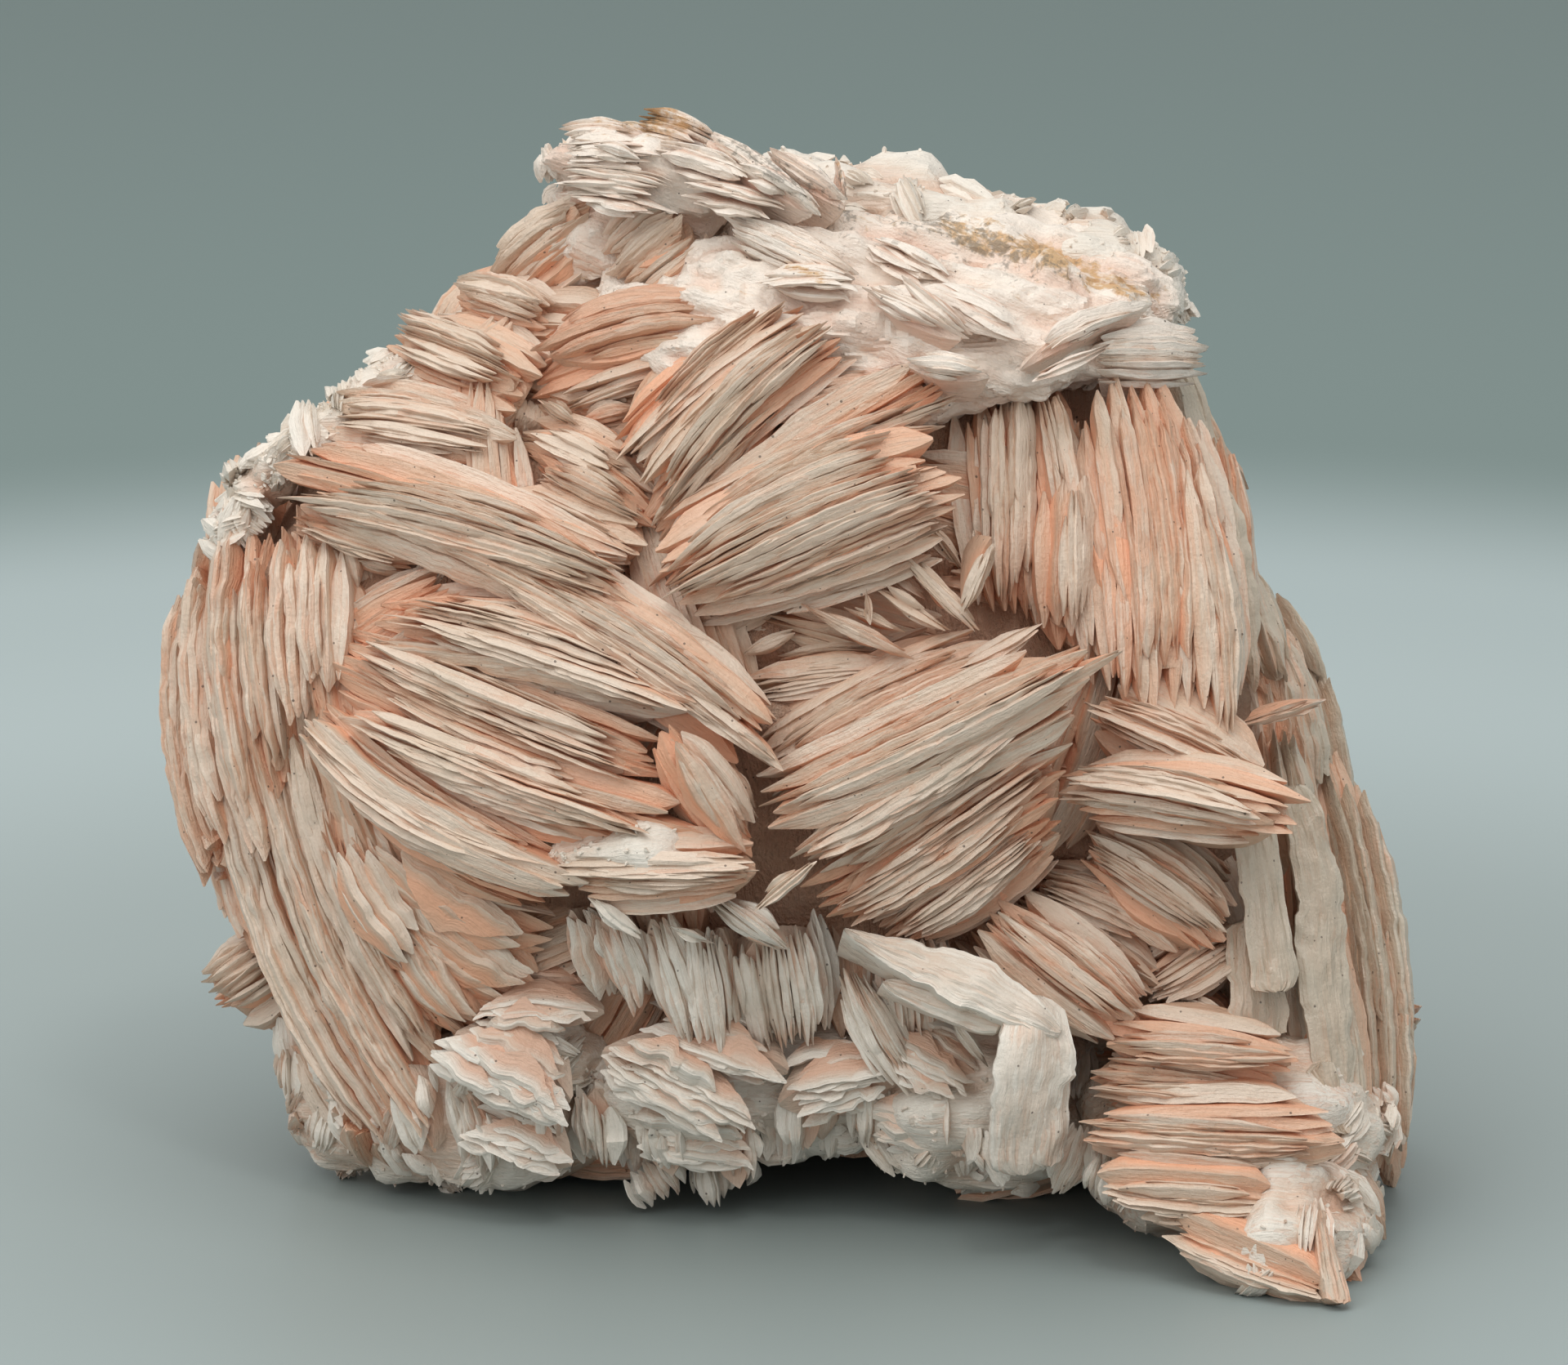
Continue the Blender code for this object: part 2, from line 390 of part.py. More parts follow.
def add_ring_packets(rng, helpers):
    """Packets over the left, back and right walls, with random directions."""
    for row, level in enumerate(RING_LEVELS):
        left, right, _ = level_at(level)
        around = (right - left) + (SIDE_OUT - back_out(level))
        count = max(3, round(around / RING_STEP))
        for k in range(count):
            share = (k + 0.5 * (row % 2) + rng.uniform(0.1, 0.4)) / count
            angle = lerp(RING_START, RING_END, min(share, 1.0))
            up = level + rng.uniform(-RING_STRAY, RING_STRAY)
            centre = ring_point(up, angle, *RING_INSET)
            normal = outward(centre)
            upright = Vector((0.0, 1.0, 0.0))
            sideways = upright.cross(normal).normalized()
            heading = rng.uniform(0.0, math.pi)
            rise = normal.cross(sideways)
            along = sideways * math.cos(heading) + rise * math.sin(heading)
            half = along * rng.uniform(*RING_LENGTH) / 2.0
            fullness = (rng.uniform(0.2, 0.7), rng.uniform(0.2, 0.7))
            width = rng.uniform(*RING_WIDTH)
            bow = rng.uniform(-1.2, 1.2)
            name = f"ring_{row}_{k}"
            packet = (name, centre - half, centre + half, width, bow, fullness, RING_BLADES)
            add_packet(packet, rng, helpers, RING_RISE, RING_DEPTH)


def add_union(obj, helpers):
    join = obj.modifiers.new("Grown together", "BOOLEAN")
    join.operation = "UNION"
    join.operand_type = "COLLECTION"
    join.collection = helpers
    join.solver = "EXACT"


def outer_shell(obj, mesh):
    """The evaluated mesh without the small hollows that the overlapping blades shut in."""
    bm = bmesh.new()
    bm.from_mesh(mesh)
    unseen = set(bm.verts)
    shells = []
    while unseen:
        shell = set()
        edge_of_search = [unseen.pop()]
        while edge_of_search:
            vert = edge_of_search.pop()
            shell.add(vert)
            for edge in vert.link_edges:
                other = edge.other_vert(vert)
                if other in unseen:
                    unseen.discard(other)
                    edge_of_search.append(other)
        shells.append(shell)
    largest = max(shells, key=len)
    inner = [vert for shell in shells if shell is not largest for vert in shell]
    bmesh.ops.delete(bm, geom=inner, context="VERTS")
    bmesh.ops.dissolve_limit(bm, angle_limit=FLAT_ANGLE, verts=bm.verts, edges=bm.edges)
    bmesh.ops.triangulate(bm, faces=bm.faces)
    bm.to_mesh(mesh)
    bm.free()
    obj.modifiers.clear()
    obj.data = mesh


def pink_barite():
    material = bpy.data.materials.new("pink_barite")
    material.use_nodes = True
    shader = material.node_tree.nodes["Principled BSDF"]
    shader.inputs["Base Color"].default_value = (0.60, 0.36, 0.27, 1.0)
    shader.inputs["Roughness"].default_value = 0.55
    shader.inputs["Metallic"].default_value = 0.0
    return material


def main():
    for obj in list(bpy.data.objects):
        bpy.data.objects.remove(obj, do_unlink=True)
    rng = random.Random(SEED)
    helpers = bpy.data.collections.new("blades")
    bpy.context.scene.collection.children.link(helpers)
    cluster = add_core(helpers)
    helpers.objects.unlink(cluster)
    bpy.context.scene.collection.objects.link(cluster)
    cluster.name = "barite_cluster"
    cluster.hide_render = False
    cluster.display_type = "TEXTURED"
    for name, centre, halves, tilt, fineness in MASSES:
        add_mass(name, centre, halves, tilt, fineness, rng, helpers)
    for packet in PACKETS:
        add_packet(packet, rng, helpers)
    add_ring_packets(rng, helpers)
    add_union(cluster, helpers)
    ground = bpy.data.collections.new("ground")
    bpy.context.scene.collection.children.link(ground)
    table = add_box("table", TABLE_SPAN, TABLE_SPAN, TABLE_HEIGHT, ground)
    cut = cluster.modifiers.new("Flat where it rests", "BOOLEAN")
    cut.operation = "DIFFERENCE"
    cut.object = table
    cut.solver = "EXACT"
    bpy.context.view_layer.update()
    graph = bpy.context.evaluated_depsgraph_get()
    outer_shell(cluster, bpy.data.meshes.new_from_object(cluster.evaluated_get(graph)))
    for helper in list(helpers.objects) + [table]:
        bpy.data.objects.remove(helper, do_unlink=True)
    cluster.data.materials.clear()
    cluster.data.materials.append(pink_barite())


main()
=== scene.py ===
import math

import bpy
import numpy as np
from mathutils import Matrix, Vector


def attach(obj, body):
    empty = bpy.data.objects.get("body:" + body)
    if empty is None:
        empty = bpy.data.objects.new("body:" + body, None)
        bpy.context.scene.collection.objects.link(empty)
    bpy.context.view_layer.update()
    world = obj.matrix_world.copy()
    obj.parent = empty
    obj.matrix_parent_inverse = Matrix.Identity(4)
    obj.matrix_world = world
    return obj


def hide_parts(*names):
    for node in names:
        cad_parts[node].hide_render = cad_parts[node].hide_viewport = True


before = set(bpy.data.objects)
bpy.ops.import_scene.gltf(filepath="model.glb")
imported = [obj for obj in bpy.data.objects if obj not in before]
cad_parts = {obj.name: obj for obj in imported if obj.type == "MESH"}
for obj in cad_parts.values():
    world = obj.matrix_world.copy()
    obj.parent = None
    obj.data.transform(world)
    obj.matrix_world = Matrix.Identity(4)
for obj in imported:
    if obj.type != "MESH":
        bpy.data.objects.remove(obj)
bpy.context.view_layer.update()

# Places are in millimetres as across, up and out from the bladed face, which leans
# back from upright. toRow brings them into the frame.
face = {
    "lean": math.radians(15.0),
    "shift": (-0.8, -11.6, 0.0),
    "sideOut": -9.0,          # depth at which the body is widest
    "backPlane": 42.0,        # how far behind the base line the back stands
    "heartSpread": 0.6,       # blades root towards a flattened heart
    "heartUp": (25.0, 65.0),
    "heartOut": -22.0,
    "backFrom": -11.0,        # depth at which the blades of the back start
    "heartOutBehind": -8.0,
}
millimetre = 0.001
deepest = 99.0    # stands for the blade's own depth in bladeForms


def toRow(points):
    points = np.asarray(points, float)
    up, out = points[:, 1], points[:, 2]
    sine, cosine = math.sin(face["lean"]), math.cos(face["lean"])
    rows = np.stack([points[:, 0], up * sine - out * cosine, up * cosine + out * sine], 1)
    rows = (rows + np.array(face["shift"])) * millimetre
    rows[:, 2] = np.maximum(rows[:, 2], 0.0)    # flat where it rests
    return rows


def unit(vector):
    return vector / max(np.linalg.norm(vector), 1e-9)


def outward(point):
    heartUp = min(max(point[1], face["heartUp"][0]), face["heartUp"][1])
    behind = point[2] <= face["backFrom"]
    heartOut = face["heartOutBehind"] if behind else face["heartOut"]
    return unit(np.array(point) - np.array([point[0] * face["heartSpread"], heartUp, heartOut]))


def eased(part):
    return part * part * (3.0 - 2.0 * part)


def between(values, knot, part):
    return values[knot] * (1.0 - part) + values[knot + 1] * part


# Noise along a blade, by the distance from its end
def smoothNoise(rng, run, step):
    values = rng.uniform(-1.0, 1.0, int(run[-1] / step) + 3)
    place = run / step
    knot = place.astype(int)
    return between(values, knot, eased(place - knot))


# The same in short steps, for a rim with teeth
toothRise = 0.28    # share of each step in which the height changes


def stepNoise(rng, run, step):
    values = rng.uniform(-1.0, 1.0, int(run[-1] / step * 1.6) + 4)
    warped = run / step + 0.3 * (1.0 + smoothNoise(rng, run, step * 1.7))
    knot = warped.astype(int)
    return between(values, knot, np.clip((warped - knot - (1.0 - toothRise)) / toothRise, 0.0, 1.0))


# Noise in space, with one table for each seed
def spaceNoise(points, scale, seed):
    size = 32
    table = np.random.default_rng(seed).uniform(-1.0, 1.0, (size, size, size))
    place = np.asarray(points) / scale
    knot = np.floor(place).astype(int)
    part = eased(place - knot)
    total = np.zeros(len(place))
    for dx in (0, 1):
        for dy in (0, 1):
            for dz in (0, 1):
                weight = np.prod(np.abs(np.array([1 - dx, 1 - dy, 1 - dz]) - part), axis=1)
                corner = (knot + np.array([dx, dy, dz])) % size
                total += weight * table[corner[:, 0], corner[:, 1], corner[:, 2]]
    return total


# A store gathers closed shapes and what their points carry: depth below the rim, which sets
# the painted highlight and painted shade, tone, and a place for the streaks that follow each blade
def newStore():
    return {"points": [], "faces": [], "paintedShade": [], "tone": [], "streak": [], "count": 0}


def addShape(store, points, faces, paintedShade, tone, streak):
    count = len(points)
    store["points"].append(points)
    store["faces"] += [np.asarray(part) + store["count"] for part in faces]
    store["paintedShade"].append(np.broadcast_to(paintedShade, count))
    store["tone"].append(np.broadcast_to(tone, count))
    store["streak"].append(streak)
    store["count"] += count


# Rings of points joined all round into a closed shape, with a flat face at each end
def closedFaces(rings, sides):
    index = np.arange(rings * sides).reshape(rings, sides)
    turned = np.roll(index, -1, axis=1)
    walls = np.stack([index[:-1], index[1:], turned[1:], turned[:-1]], -1).reshape(-1, 4)
    return [walls, index[:1], index[-1:, ::-1]]


# How strongly a stain covers each point, from rows like those in capStains
def stainMask(points, spots):
    mask = np.zeros(len(points))
    for across, up, along, wide, slope, amount in spots:
        dx, dy = points[:, 0] - across, points[:, 1] - up
        turn = math.radians(slope)
        u = (dx * math.cos(turn) + dy * math.sin(turn)) / along
        v = (dy * math.cos(turn) - dx * math.sin(turn)) / wide
        mask = np.maximum(mask, amount * np.exp(-u * u - v * v))
    return mask


def addAttribute(mesh, name, values, kind="FLOAT", field="value"):
    layer = mesh.attributes.new(name, kind, "POINT")
    layer.data.foreach_set(field, values.astype(np.float32).reshape(-1))


rimAngle = 32.0    # a blade's rim stays sharp where its sides meet at more than this


def makePiece(name, store, material, stains=()):
    points = np.concatenate(store["points"])
    corners = np.concatenate([part.reshape(-1) for part in store["faces"]]).astype(np.int32)
    sizes = np.concatenate([np.full(len(part), part.shape[1]) for part in store["faces"]])
    starts = np.concatenate([[0], np.cumsum(sizes)[:-1]]).astype(np.int32)
    mesh = bpy.data.meshes.new(name)
    mesh.vertices.add(len(points))
    mesh.vertices.foreach_set("co", toRow(points).astype(np.float32).reshape(-1))
    mesh.loops.add(len(corners))
    mesh.loops.foreach_set("vertex_index", corners)
    mesh.polygons.add(len(sizes))
    mesh.polygons.foreach_set("loop_start", starts)
    mesh.update(calc_edges=True)
    mesh.validate()
    for attribute in ("paintedShade", "tone"):
        addAttribute(mesh, attribute, np.concatenate(store[attribute]))
    addAttribute(mesh, "streak", np.concatenate(store["streak"]), "FLOAT_VECTOR", "vector")
    for attribute, spots in stains:
        addAttribute(mesh, attribute, stainMask(points, spots))
    mesh.polygons.foreach_set("use_smooth", np.full(len(mesh.polygons), True))
    mesh.set_sharp_from_angle(angle=math.radians(rimAngle))
    piece = bpy.data.objects.new(name, mesh)
    bpy.context.scene.collection.objects.link(piece)
    mesh.materials.append(material)
    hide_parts("barite_cluster")
    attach(piece, "root")
    print(f"{name}: {int((sizes - 2).sum())} triangles")


# One blade is a closed strip, steep on one side of its rim and sloping on the other:
# its section across and below the rim, and how far apart the sections stand
fineSection = {"across": (0.34, 0.50, 0.54, -0.62, -0.34), "below": (0.0, 0.22, deepest, deepest, 0.30)}
plainSection = {"across": (0.28, 0.54, -0.62, -0.50), "below": (0.0, deepest, deepest, 0.42)}
bladeForms = {
    "fine": {**fineSection, "step": 0.55},
    "plain": {**plainSection, "step": 1.1},
    "coarse": {**plainSection, "step": 1.9},
}
paintedShadeDepth = 1.9    # depth below the rim at which a blade's side gets the full painted crevice shade


def addBlade(store, style, crest, inward, left, thick, depth, run, tone, low, sunk, rng):
    across, below = (np.array(bladeForms[style][key]) for key in ("across", "below"))
    below = np.minimum(below[None, :], depth[:, None])
    sides = across[None, :] * thick[:, None]
    points = crest[:, None, :] + below[:, :, None] * inward + sides[:, :, None] * left
    away = rng.uniform(0.0, 400.0)    # no two blades have the same streaks
    streak = np.stack([np.broadcast_to(run[:, None] + away, below.shape), sides + away, below], -1)
    # Painted shade and highlight: the deeper below the rim, the more a point is painted with crevice shade;
    # near the rim it is painted as a highlight
    paintedShade = (below * np.reshape(sunk, (-1, 1)) + np.reshape(low, (-1, 1))) / paintedShadeDepth
    addShape(store, points.reshape(-1, 3), closedFaces(*below.shape), paintedShade.reshape(-1), tone,
             streak.reshape(-1, 3))


# How a packet is filled with blades, unless its row says otherwise
packetForm = {
    "style": "fine",
    "pitch": 0.43,        # usual distance between blades
    "mixed": 0.38,        # how much that varies
    "fill": 1.5,          # blade thickness over its share of the width
    "book": (1, 5),       # blades that stand together
    "gap": 0.12,          # space between books over the pitch
    "bed": 1.0,           # depth of the salmon bed that closes the cracks, a sheet painted as crevice shade
    "depth": 6.5,
    "lean": 0.0,          # degrees that the blades lean over, to show their faces
    "fan": 26.0,          # degrees that the outer blades lean away
    "wild": 1.8,          # degrees by which the lean of the blades differs
    "tone": 0.0,          # -1 salmon, 1 white
    "lift": 0.36,         # how unevenly high the books stand
    "lower": 0.0,         # how far the whole packet sits in
    "ragged": 1.8,        # how unevenly the blades end
    "split": 9.0,         # a longer lane is several blades, one behind the other
    "slant": 0.08,        # how far aslant a packet's end may be cut, over its length
    "arch": 0.05,         # how far a packet's middle stands out, over its length
    "dome": 0.10,         # how far its sides drop, over its width
    "edgeDrop": 2.4,      # how far the outermost blades step down, up to a part of the width
    "narrowest": 0.24,    # width left at an end that is not full, over the widest
    "paleEdge": 1.7,      # depth to which the outermost blades' sides stay pale, free of painted shade
    "paleEnd": 5.0,       # length over which the blades' sides get less painted shade at a packet's ends
    "wave": 0.07,         # how far a blade's path wanders
    "serration": 0.15,    # height of the teeth on its rim
    "tip": 4.2,           # length of its thin tip
    "tipDrop": 0.5,       # how far the rim sinks there
    "rootSlope": 0.7,     # depth gained for each millimetre from a tip
}

# How one book, blade or part of a lane strays from the next. Turns and ends go by the
# packet's length, partCut by the part's, partAside by the pitch. Lifts, bladeTilt and
# partLap are millimetres, and parts, bookGap, tip, tipDrop and thick are factors.
stray = {
    "bookTurn": 0.014, "bookEnd": 0.06, "bookTone": 0.22, "bookGap": (0.3, 1.5),
    "bladeTurn": 0.010, "bladeEnd": 0.04, "bladeTone": 0.13, "bladeLift": 0.12, "bladeTilt": 0.25,
    "outerShort": (0.14, 0.40),    # how much shorter the outer blades are at a pointed end
    "parts": (0.7, 1.2), "partCut": 0.25, "partAside": 0.45, "partLift": 0.2, "partLap": (1.5, 4.5),
    "tip": (0.5, 1.5), "tipDrop": (0.4, 1.2), "thick": (0.85, 1.2),
}

# Noise along a blade, as the length and the height of its waves
wander = {"ripple": (1.1, 0.05), "nicks": (0.9, 0.07), "thick": (1.9, 0.07), "bed": (2.0, 0.25)}
pathWave, toothLength = 4.5, 1.6    # lengths of the waves that packetForm gives a height


def wandering(rng, run, kind):
    length, height = wander[kind]
    return height * smoothNoise(rng, run, length)


# How wide a packet is along its length, over its widest
def spreadAt(form, packet, t):
    tail, head = packet["fullness"]
    ends = tail + (head - tail) * t
    full = ends + (1.0 - ends) * np.sin(math.pi * np.clip(t, 0.0, 1.0)) ** 0.8
    return form["narrowest"] + (1.0 - form["narrowest"]) * full


# Nothing at both ends of a path and the whole amount halfway
def bowed(amount, t):
    return amount * 4.0 * t * (1.0 - t)


def archAt(form, packet, t):
    return form["arch"] * packet["length"] * (bowed(1.0, t) - 0.6)


def bookLanes(rng, form, width):
    lanes, reach = [], 0.0
    while reach < width:
        book = {"lift": rng.normal(0.0, form["lift"]), "turn": rng.normal(0.0, stray["bookTurn"]),
                "start": rng.uniform(0.0, stray["bookEnd"]), "end": rng.uniform(0.0, stray["bookEnd"]),
                "tone": rng.normal(0.0, stray["bookTone"])}
        for _ in range(rng.integers(*form["book"])):
            step = form["pitch"] * math.exp(rng.normal(0.0, form["mixed"]))
            lanes.append({"place": reach + step / 2.0, "step": step, "book": book})
            reach += step
            if reach >= width:
                break
        reach += form["pitch"] * form["gap"] * rng.uniform(*stray["bookGap"])
    for lane in lanes:
        lane["place"] = lane["place"] / reach * 2.0 - 1.0 if len(lanes) > 1 else 0.0
        lane["step"] *= width / reach if len(lanes) > 1 else 1.0
    return lanes


# Where a lane of blades starts and ends along its packet
def laneEnds(rng, form, packet, lane, slant):
    book, place, free = lane["book"], lane["place"], form["ragged"]
    tail, head = packet["fullness"]
    edge = abs(place) ** 1.6
    start = (1.0 - tail) * edge * rng.uniform(*stray["outerShort"])
    end = 1.0 - (1.0 - head) * edge * rng.uniform(*stray["outerShort"])
    start += free * (book["start"] + rng.uniform(0.0, stray["bladeEnd"])) + abs(slant[0]) + slant[0] * place
    end -= free * (book["end"] + rng.uniform(0.0, stray["bladeEnd"])) + abs(slant[1]) + slant[1] * place
    return start, end


def growPacket(store, row, rng, changes=()):
    tail, head, width, bow, fullness = row[1:6]
    form = {**packetForm, **(row[6] if len(row) > 6 else {}), **dict(changes)}
    tail, head = np.array(tail, float), np.array(head, float)
    length = np.linalg.norm(head - tail)
    along = (head - tail) / length
    normal = form["normal"] if "normal" in form else outward((tail + head) / 2.0)
    left = unit(np.cross(normal, along))
    packet = {
        "tail": tail, "span": head - tail, "length": length,
        "left": left, "normal": unit(np.cross(along, left)),
        "width": width, "bow": bow, "fullness": fullness,
        "turned": rng.random() >= 0.5,    # whether the steep sides of its blades look right
    }
    slant = rng.uniform(-form["slant"], form["slant"], 2)
    if width > bedForm["least"] and form["bed"]:
        growBed(store, form, packet, rng)
    for lane in bookLanes(rng, form, width):
        start, end = laneEnds(rng, form, packet, lane, slant)
        parts = max(1, round(length * (end - start) / form["split"] * rng.uniform(*stray["parts"])))
        cuts = start + (end - start) * np.arange(parts + 1) / parts
        cuts[1:-1] += rng.uniform(-stray["partCut"], stray["partCut"], parts - 1) * (end - start) / parts
        for part in range(parts):
            lap = rng.uniform(*stray["partLap"]) / length
            first = cuts[part] - lap * (part > 0)
            last = cuts[part + 1] + lap * (part < parts - 1)
            growBlade(store, form, packet, lane, first, last, parts > 1, rng)


# The bed is one broad strip along the packet, which thins to a wedge at both ends. It is painted as crevice
# shade all over, a sheet that stands for the shade in the cracks.
bedForm = {
    "least": 2.0,                 # a narrower packet has none
    "reach": (0.15, 0.85),        # where it starts and ends, over the packet's length
    "wedge": (0.14, 0.72),        # start and length of the half wave that thins it
    "blunt": 0.6,                 # the power of that wave
    "step": 1.2,
    "width": 0.80,                # over the packet's
    "depth": 0.8,                 # over the blades'
    "wedgeDepth": (0.3, 0.85),    # least depth, and how soon the wedges deepen
    "tone": -0.2,                 # more salmon than the blades
    "endsIn": (1.5, 0.49),        # how much more painted shade its ends get; its length squared
}


def growBed(store, form, packet, rng):
    t = np.linspace(*bedForm["reach"], max(6, int(packet["length"] / bedForm["step"])))
    run = t * packet["length"]
    wedge = np.sin(math.pi * (t - bedForm["wedge"][0]) / bedForm["wedge"][1])
    thick = packet["width"] * bedForm["width"] * spreadAt(form, packet, t) * wedge ** bedForm["blunt"]
    aside = bowed(packet["bow"], t)
    lift = archAt(form, packet, t) - form["bed"] - form["lower"]
    lift = lift - 0.5 * form["dome"] * packet["width"] + wandering(rng, run, "bed")
    crest = packet["tail"] + packet["span"] * t[:, None] + packet["left"] * aside[:, None]
    crest = crest + packet["normal"] * lift[:, None]
    shallow, slope = bedForm["wedgeDepth"]
    depth = np.minimum(form["depth"] * bedForm["depth"], shallow + slope * wedge * form["depth"])
    more, ends = bedForm["endsIn"]
    low = paintedShadeDepth * (1.0 + more * np.abs(2.0 * t - 1.0) ** 2 / ends)
    addBlade(store, "plain", crest, -packet["normal"], packet["left"], thick, depth, run,
             form["tone"] + bedForm["tone"], low, 1.0, rng)


# The ends of a blade, and how pale or dark its sides are painted: painted shade between its neighbours
bladeEdge = {
    "shortest": 1.2,
    "dropShare": 0.3,         # most that the outermost blades step down, over the width
    "tipShare": 0.45,         # longest tip, over the blade's length
    "thinnest": 0.15,
    "tipThick": 0.12,         # thickness left at a tip, over the blade's
    "tipDepth": 0.15,
    "deepens": 1.4,           # how soon it reaches its whole depth
    "lowerPaintedShade": 0.35,        # painted shade for each millimetre that the packet sits in
    "bookDark": 0.6,          # and for each that a book stands lower
    "mostPaintedShade": 1.6,
    "paleFrom": 0.7,          # blades further out than this get less painted shade and are paler,
    "paleOver": 0.25,         # most of all when they are this much further
    "palest": 0.35,           # share of the painted shade left at a packet's ends
}


def growBlade(store, form, packet, lane, first, last, shared, rng):
    length, width, book, place = packet["length"], packet["width"], lane["book"], lane["place"]
    left, normal = packet["left"], packet["normal"]
    reach = max((last - first) * length, bladeEdge["shortest"])
    count = max(5, int(reach / bladeForms[form["style"]]["step"]) + 1)
    t = np.linspace(first, last, count)
    run = np.linspace(0.0, reach, count)
    spread = spreadAt(form, packet, t)
    # Its path beside the packet's middle
    aside = place * width / 2.0 * spread + bowed(packet["bow"], t)
    aside += shared * rng.uniform(-stray["partAside"], stray["partAside"]) * form["pitch"]
    aside += form["wave"] * smoothNoise(rng, run, pathWave) + wandering(rng, run, "ripple")
    aside += (book["turn"] + rng.normal(0.0, stray["bladeTurn"])) * (t - 0.5) * length
    # How far its rim stands out, with teeth and sinking tips
    lift = book["lift"] + rng.normal(0.0, stray["bladeLift"])
    lift = lift + shared * rng.uniform(-stray["partLift"], stray["partLift"]) - form["lower"]
    lift = lift - form["dome"] * width * place * place + rng.normal(0.0, stray["bladeTilt"]) * (t - 0.5)
    outermost = max(abs(place) * 2.0 - 1.0, 0.0) ** 1.7
    lift -= min(form["edgeDrop"], bladeEdge["dropShare"] * width) * outermost
    lift += archAt(form, packet, t)
    teeth = form["serration"] * stepNoise(rng, run, toothLength) + wandering(rng, run, "nicks")
    tip = min(form["tip"] * rng.uniform(*stray["tip"]), reach * bladeEdge["tipShare"])
    nearest = np.minimum(run, reach - run)
    close = np.clip(nearest / tip, 0.0, 1.0)
    teeth -= form["tipDrop"] * rng.uniform(*stray["tipDrop"]) * (1.0 - close) ** 1.6
    # Thickness and depth, both less towards the tips
    thick = lane["step"] * form["fill"] * rng.uniform(*stray["thick"]) * spread
    thick += wandering(rng, run, "thick")
    narrowing = (1.0 - bladeEdge["tipThick"]) * np.clip(nearest / (tip * 0.8), 0.0, 1.0) ** 0.8
    thick = np.maximum(thick, bladeEdge["thinnest"]) * (bladeEdge["tipThick"] + narrowing)
    depth = bladeEdge["tipDepth"] + form["rootSlope"] * nearest
    depth = form["depth"] * (1.0 - np.exp(-depth / form["depth"] * bladeEdge["deepens"]))
    lean = math.radians(form["lean"] - form["fan"] * place + rng.normal(0.0, form["wild"]))
    inward = -normal * math.cos(lean) + left * math.sin(lean)
    side = left * math.cos(lean) + normal * math.sin(lean)
    crest = packet["tail"] + packet["span"] * t[:, None] + left * aside[:, None]
    crest = crest + normal * lift[:, None] - inward * teeth[:, None]
    # Painted shade: how dark it is painted between its neighbours, more where its packet or book sits
    # lower, less at the outermost blades and the packet's ends
    low = form["lower"] * bladeEdge["lowerPaintedShade"] - bladeEdge["bookDark"] * book["lift"]
    low = np.clip(low, 0.0, bladeEdge["mostPaintedShade"])
    low -= form["paleEdge"] * min(max(abs(place) - bladeEdge["paleFrom"], 0.0) / bladeEdge["paleOver"], 1.0)
    tone = form["tone"] + book["tone"] + rng.normal(0.0, stray["bladeTone"])
    sunk = np.clip(np.minimum(t, 1.0 - t) * length / form["paleEnd"], bladeEdge["palest"], 1.0)
    if packet["turned"]:    # the same blade, grown from its other end
        crest, thick, depth, run, sunk = (values[::-1] for values in (crest, thick, depth, run, sunk))
        side = -side
    addBlade(store, form["style"], crest, inward, side, thick, depth, run, tone, low, sunk, rng)


# Under each packet stands a broader one, set in, which shows between the packets
underForm = {"style": "plain", "pitch": 1.1, "lower": 1.6, "tone": -0.15, "lift": 0.6,
             "split": 14.0, "edgeDrop": 2.6, "slant": 0.0}
underPlace = {
    "least": 2.3,        # a narrower packet has none under it
    "wider": 3.4,
    "turn": 0.07,        # how far aslant it may stand, over the length
    "longer": 0.03,      # at each end, over the length
    "fullness": (0.55, 0.55),
}
underStore = newStore()


def growUnder(row, rng):
    tail, head = np.array(row[1], float), np.array(row[2], float)
    turn = rng.uniform(-underPlace["turn"], underPlace["turn"]) * np.linalg.norm(head - tail)
    aside = unit(np.cross(outward((tail + head) / 2.0), head - tail)) * turn
    aside = aside + (head - tail) * underPlace["longer"]
    broad = (row[0], tail - aside, head + aside, row[3] + underPlace["wider"], row[4],
             underPlace["fullness"], *row[6:])
    growPacket(underStore, broad, rng, underForm)


def growRows(name, rows, material, seed, under=True, stains=()):
    rng = np.random.default_rng(seed)
    store = newStore()
    for row in rows:
        growPacket(store, row, rng)
        if under and row[3] > underPlace["least"]:
            growUnder(row, rng)
    makePiece(name, store, material, stains)


# Materials. Effects that more than one of them uses are node groups.
def newGroup(name, inputs, outputs):
    tree = bpy.data.node_groups.new(name, "ShaderNodeTree")
    for label, value in inputs:
        kind = "NodeSocketColor" if isinstance(value, tuple) else "NodeSocketFloat"
        tree.interface.new_socket(name=label, in_out="INPUT", socket_type=kind).default_value = value
    for label, kind in outputs:
        tree.interface.new_socket(name=label, in_out="OUTPUT", socket_type="NodeSocket" + kind)
    return tree, tree.nodes.new("NodeGroupInput").outputs, tree.nodes.new("NodeGroupOutput").inputs


def addNode(tree, kind, values=(), **settings):
    node = tree.nodes.new("ShaderNode" + kind)
    for key, value in settings.items():
        setattr(node, key, value)
    for key, value in dict(values).items():
        node.inputs[key].default_value = value
    return node


def wire(tree, *pairs):
    for source, target in pairs:
        tree.links.new(source, target)


def give(tree, socket, value):    # a number is set and a socket is wired
    if isinstance(value, (int, float)):
        socket.default_value = value
    else:
        tree.links.new(value, socket)


